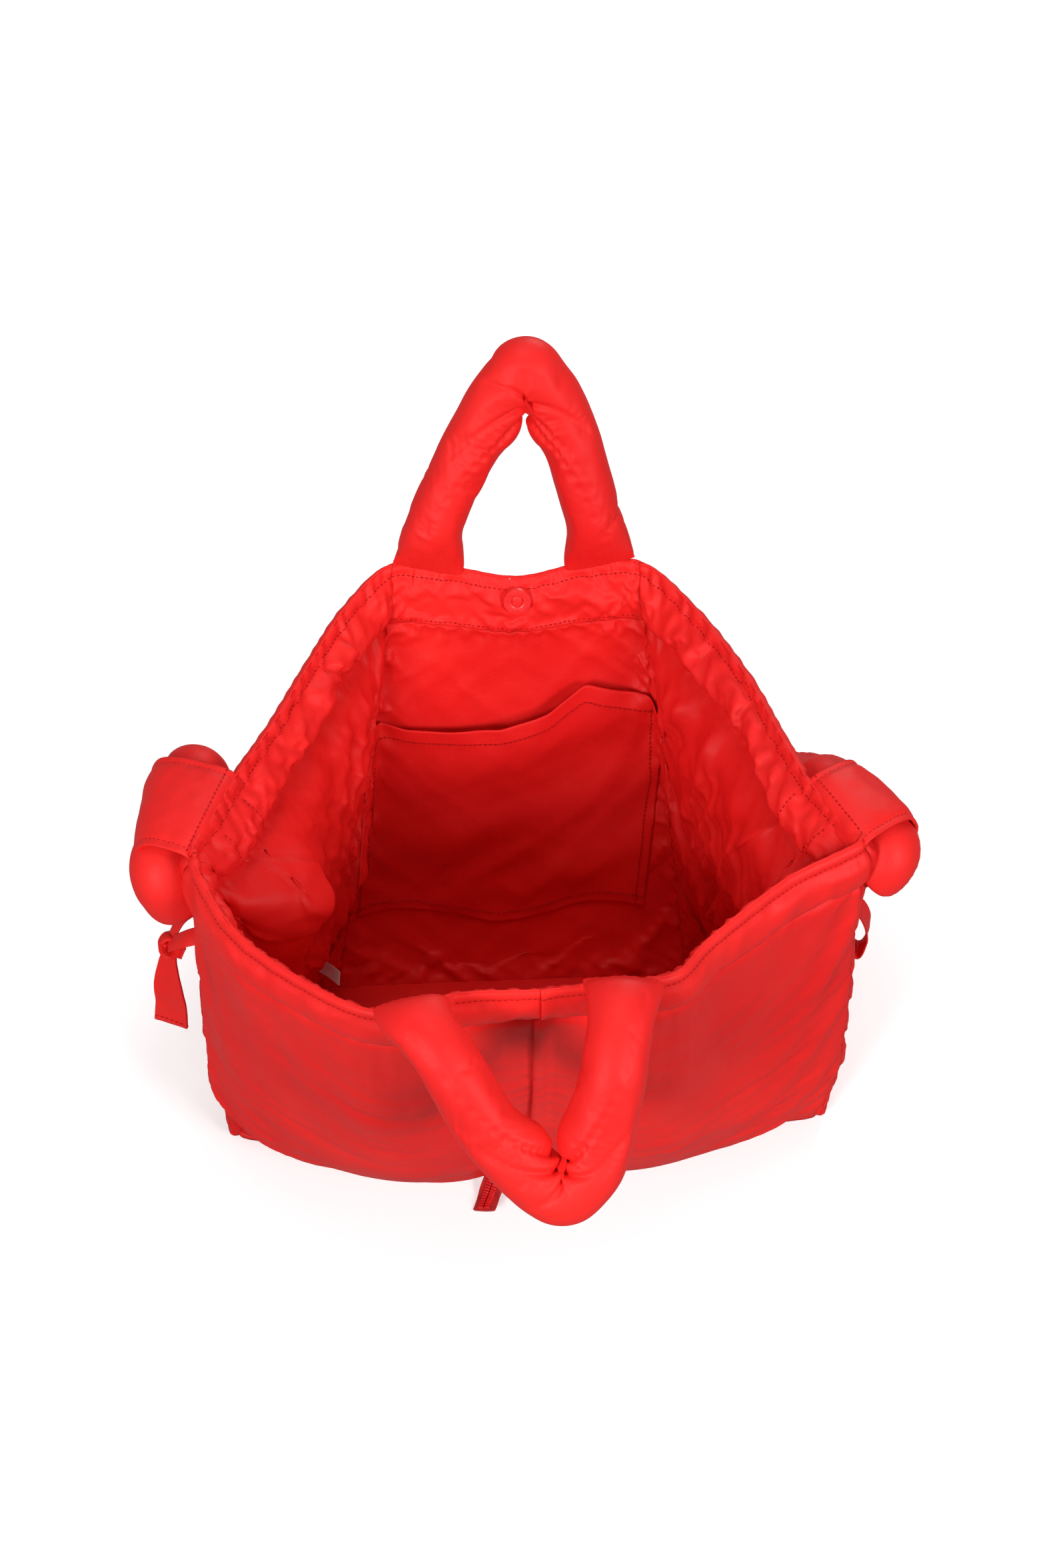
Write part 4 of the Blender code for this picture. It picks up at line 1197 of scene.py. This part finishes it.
def make_ties():
    left = pivot("left_tie_swing")
    knot = left + (-0.024, -0.004, -0.013)
    for end, offset in (("front", -0.012), ("back", 0.012)):
        start = left + (0.008, offset, 0.010)
        bend = (start + knot) / 2 + (-0.004, 0.4 * offset, 0.006)
        path = (start, bend, knot + (0, 0.15 * offset, 0.003))
        ribbon(f"left_ribbon_{end}", path, (0.3, 1.0, 0.5), 0.011, 0.0012, "left_tie", (f"tie_left_{end}",))
    tail = knot + np.array([(0, 0, -0.002), (-0.003, -0.003, -0.014), (-0.005, -0.005, -0.034),
                            (-0.005, -0.006, -0.055), (-0.007, -0.006, -0.077)])
    share = np.linspace(0, 1, 48)
    widths = np.interp(share, (0, 0.12, 0.45, 1), (0.008, 0.011, 0.019, 0.023))
    points, normal = ribbon("left_ribbon_tail", tail, (1.0, -0.35, 0.12), widths, 0.0016, "left_tie",
                            ("tie_left_tail",))
    hem_line = (points[-4], np.repeat(normal[-4][None], 9, axis=0) * -np.sign(normal[-4][1] + 1e-9))
    stitches("stitches_left_tail", [hem_line], "left_tie", sink=-0.0008)
    short = knot + np.array([(0, 0, 0), (0.006, -0.008, 0.004), (0.010, -0.013, 0.013)])
    widths = np.interp(share, (0, 0.6, 1), (0.009, 0.010, 0.002))
    ribbon("left_ribbon_end", short, (0.2, 0.4, 1.0), widths, 0.0012, "left_tie", ())
    make_knot(knot)
    fold = pivot("right_tie_swing") + np.array([
        (-0.004, 0.0, 0.006), (0.008, -0.002, -0.006), (0.013, -0.003, -0.026), (0.009, -0.004, -0.044),
        (0.002, -0.002, -0.038), (0.0045, 0.002, -0.018), (-0.002, 0.006, 0.0),
    ])
    ribbon("right_ribbon_loop", fold, (0.25, 1.0, 0.0), 0.015, 0.0012, "right_tie", ("tie_right_loop",))


def make_knot(centre):
    """Two flat turns of ribbon pulled tight, one across the other."""
    a = np.linspace(0, 2 * math.pi, 40)
    verts, faces = [], []
    for tilt, size in ((0.3, 0.0072), (1.4, 0.0062)):
        across, deep = size * np.sin(a) * math.cos(tilt), size * np.sin(a) * math.sin(tilt)
        ring = centre + np.stack([0.7 * size * np.cos(a), across, deep], axis=1)
        points = tube_grid(ring, np.full(40, 0.0033), np.array([0.2, 0.3, 1.0]), sides=12,
                           flatten=np.full(40, 0.6))
        points = points + 0.0006 * wobble(points, 200.0, 19.0)[..., None]
        faces += [tuple(f) for f in grid_faces(40, 12, True, offset=len(verts))]
        verts += list(points.reshape(-1, 3))
    obj = mesh_object("left_knot", verts, faces, SHELL)
    obj.modifiers.new("smooth", "SUBSURF").levels = 1
    attach(obj, "left_tie", "padded_nylon", "tie_left_knot")


# Zip

# Corners and faces of a box, in halves of its sides
BOX_CORNERS = [(a, b, c) for a in (-0.5, 0.5) for b in (-0.5, 0.5) for c in (-0.5, 0.5)]
BOX_FACES = ((0, 1, 3, 2), (4, 6, 7, 5), (0, 4, 5, 1), (2, 3, 7, 6), (0, 2, 6, 4), (1, 5, 7, 3))
TOOTH_LONG, TOOTH_WIDE, TOOTH_HIGH = 0.0036, 0.0016, 0.0022


def make_zip():
    """New materials on the zip's CAD solids, and the tail of tape with its two rows of teeth."""
    for material, names in (
        (TAPE, ("zip_tape_left", "zip_tape_right")),
        (TEETH, ("zip_teeth_left", "zip_teeth_right", "zip_stop_top", "zip_stop_bottom", "zip_slider",
                 "zip_puller")),
        (LINING, ("zip_pocket_bag",)),
        (STEEL, ("snap_washer_back", "snap_washer_front")),
    ):
        for name in names:
            repaint(frame["nodes"][name], material)
    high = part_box("zip_tail")[1]
    path = (high[0] - 0.008, high[1] - 0.0005, 0.0155) + np.array([
        (0, 0, 0), (-0.004, -0.010, -0.004), (-0.009, -0.021, -0.0105), (-0.013, -0.032, -0.0115),
    ])
    points, _ = ribbon("zip_tail_tape", path, (1.0, -0.35, 0.55), 0.017, 0.0014, "bag", ("zip_tail",),
                       material=TAPE)
    verts, faces = [], []
    line = even(points[:, 4], 40)
    tangent = tangents(line)
    side = unit(points[:, -1] - points[:, 0])[np.linspace(0, 47, 40).astype(int)]
    up = np.cross(side, tangent)
    up = up * np.sign(up[:, 2:3] + 1e-6)
    for i in range(1, 39, 2):
        for shift in (-0.0024, 0.0024):
            centre = line[i] + side[i] * shift + up[i] * 0.0016
            faces += [tuple(len(verts) + k for k in face) for face in BOX_FACES]
            for a, b, c in BOX_CORNERS:
                corner = centre + side[i] * a * TOOTH_LONG + tangent[i] * b * TOOTH_WIDE
                verts.append(corner + up[i] * c * TOOTH_HIGH)
    teeth = mesh_object("zip_tail_teeth", verts, faces, TEETH, smooth=False)
    bevel = teeth.modifiers.new("round", "BEVEL")
    bevel.width = 0.0004
    bevel.segments = 2
    attach(teeth, "bag", "zip_plastic")


def repaint(obj, material):
    for place in obj.material_slots:
        place.link = "OBJECT"
        place.material = material


# Stage


FLOOR_HALF, FLOOR_Z = 6.0, -0.0006
DOME_RADIUS = 5.5
# Name, place, power in watts and width of each lamp; all of them point at LAMP_TARGET
LAMPS = (
    ("left", (-1.1, -1.7, 1.25), 31.0, 0.7),
    ("right", (1.3, -1.6, 1.25), 28.0, 0.7),
    ("top", (0.0, 0.2, 2.2), 10.0, 1.0),
    ("back", (0.7, 1.9, 1.3), 13.0, 0.8),
)
LAMP_TARGET = (0, 0, 0.15)


def make_stage():
    """A pale floor and dome that light nothing themselves, an even sky and four soft lamps."""
    corners = [(x * FLOOR_HALF, y * FLOOR_HALF, FLOOR_Z) for x, y in ((-1, -1), (1, -1), (1, 1), (-1, 1))]
    floor = mesh_object("floor", corners, [(0, 1, 2, 3)], floor_material(), smooth=False)
    floor.visible_diffuse = floor.visible_glossy = False
    a, h = np.meshgrid(np.linspace(0, 2 * math.pi, 64, endpoint=False), np.linspace(-0.1, math.pi / 2, 24))
    dome = DOME_RADIUS * np.stack([np.cos(a) * np.cos(h), np.sin(a) * np.cos(h), np.sin(h)], axis=-1)
    faces = grid_faces(24, 64, True)
    backdrop = mesh_object("backdrop", dome.reshape(-1, 3), faces, floor.data.materials[0])
    backdrop.visible_diffuse = backdrop.visible_glossy = backdrop.visible_shadow = False
    world = bpy.data.worlds.new("studio")
    world.use_nodes = True
    background = world.node_tree.nodes["Background"]
    background.inputs["Color"].default_value = (1.0, 1.0, 1.0, 1.0)
    background.inputs["Strength"].default_value = 0.26
    scene = bpy.context.scene
    scene.world = world
    for name, place, energy, width in LAMPS:
        light = bpy.data.lights.new(name, "AREA")
        light.energy = energy
        light.size = width
        lamp = in_scene(bpy.data.objects.new(name, light))
        lamp.location = place
        lamp.rotation_euler = (Vector(LAMP_TARGET) - Vector(place)).to_track_quat("-Z", "Y").to_euler()
    scene.view_settings.view_transform = "Standard"
    scene.view_settings.look = "None"


def floor_material():
    s = Shader("pale_floor", 0.9, specular=0.1)
    s.colour(s.ramp(s.noise(3.0), ((0.3, (0.79, 0.79, 0.79)), (0.7, (0.81, 0.81, 0.81)))))
    near = s.node("ShaderNodeTexGradient", gradient_type="SPHERICAL")
    s.link(s.place, near, "Vector")
    glow = s.ramp(near.outputs["Fac"], ((0.1, (1.0, 1.0, 1.0)), (0.5, (0.38, 0.38, 0.38))))
    s.link(glow, s.surface, "Emission Color")
    s.surface.inputs["Emission Strength"].default_value = 1.0
    return s.material


def make_camera():
    data = bpy.data.cameras.new("camera")
    data.lens = CAMERA_LENS
    data.sensor_width = 36.0
    camera = in_scene(bpy.data.objects.new("camera", data))
    level = math.cos(CAMERA_TILT)
    back = Vector((math.sin(CAMERA_TURN) * level, -math.cos(CAMERA_TURN) * level, math.sin(CAMERA_TILT)))
    camera.location = Vector(CAMERA_TARGET) + back * CAMERA_DISTANCE
    camera.rotation_euler = (-back).to_track_quat("-Z", "Y").to_euler()
    bpy.context.scene.camera = camera


make_camera()
make_stage()
OUTER, SHELLS = make_shell()
INNER, FACINGS = make_lining()
make_floor_of_bag()
make_shell_stitches(OUTER, INNER, SHELLS, FACINGS)
INNER_TREE = surface_tree(INNER)
make_pocket(INNER_TREE)
make_label(INNER_TREE)
make_snap(INNER_TREE)
make_handles()
make_side_loop(1.0, "loop_right")
make_side_loop(-1.0, "loop_left")
make_strap()
make_ties()
make_zip()
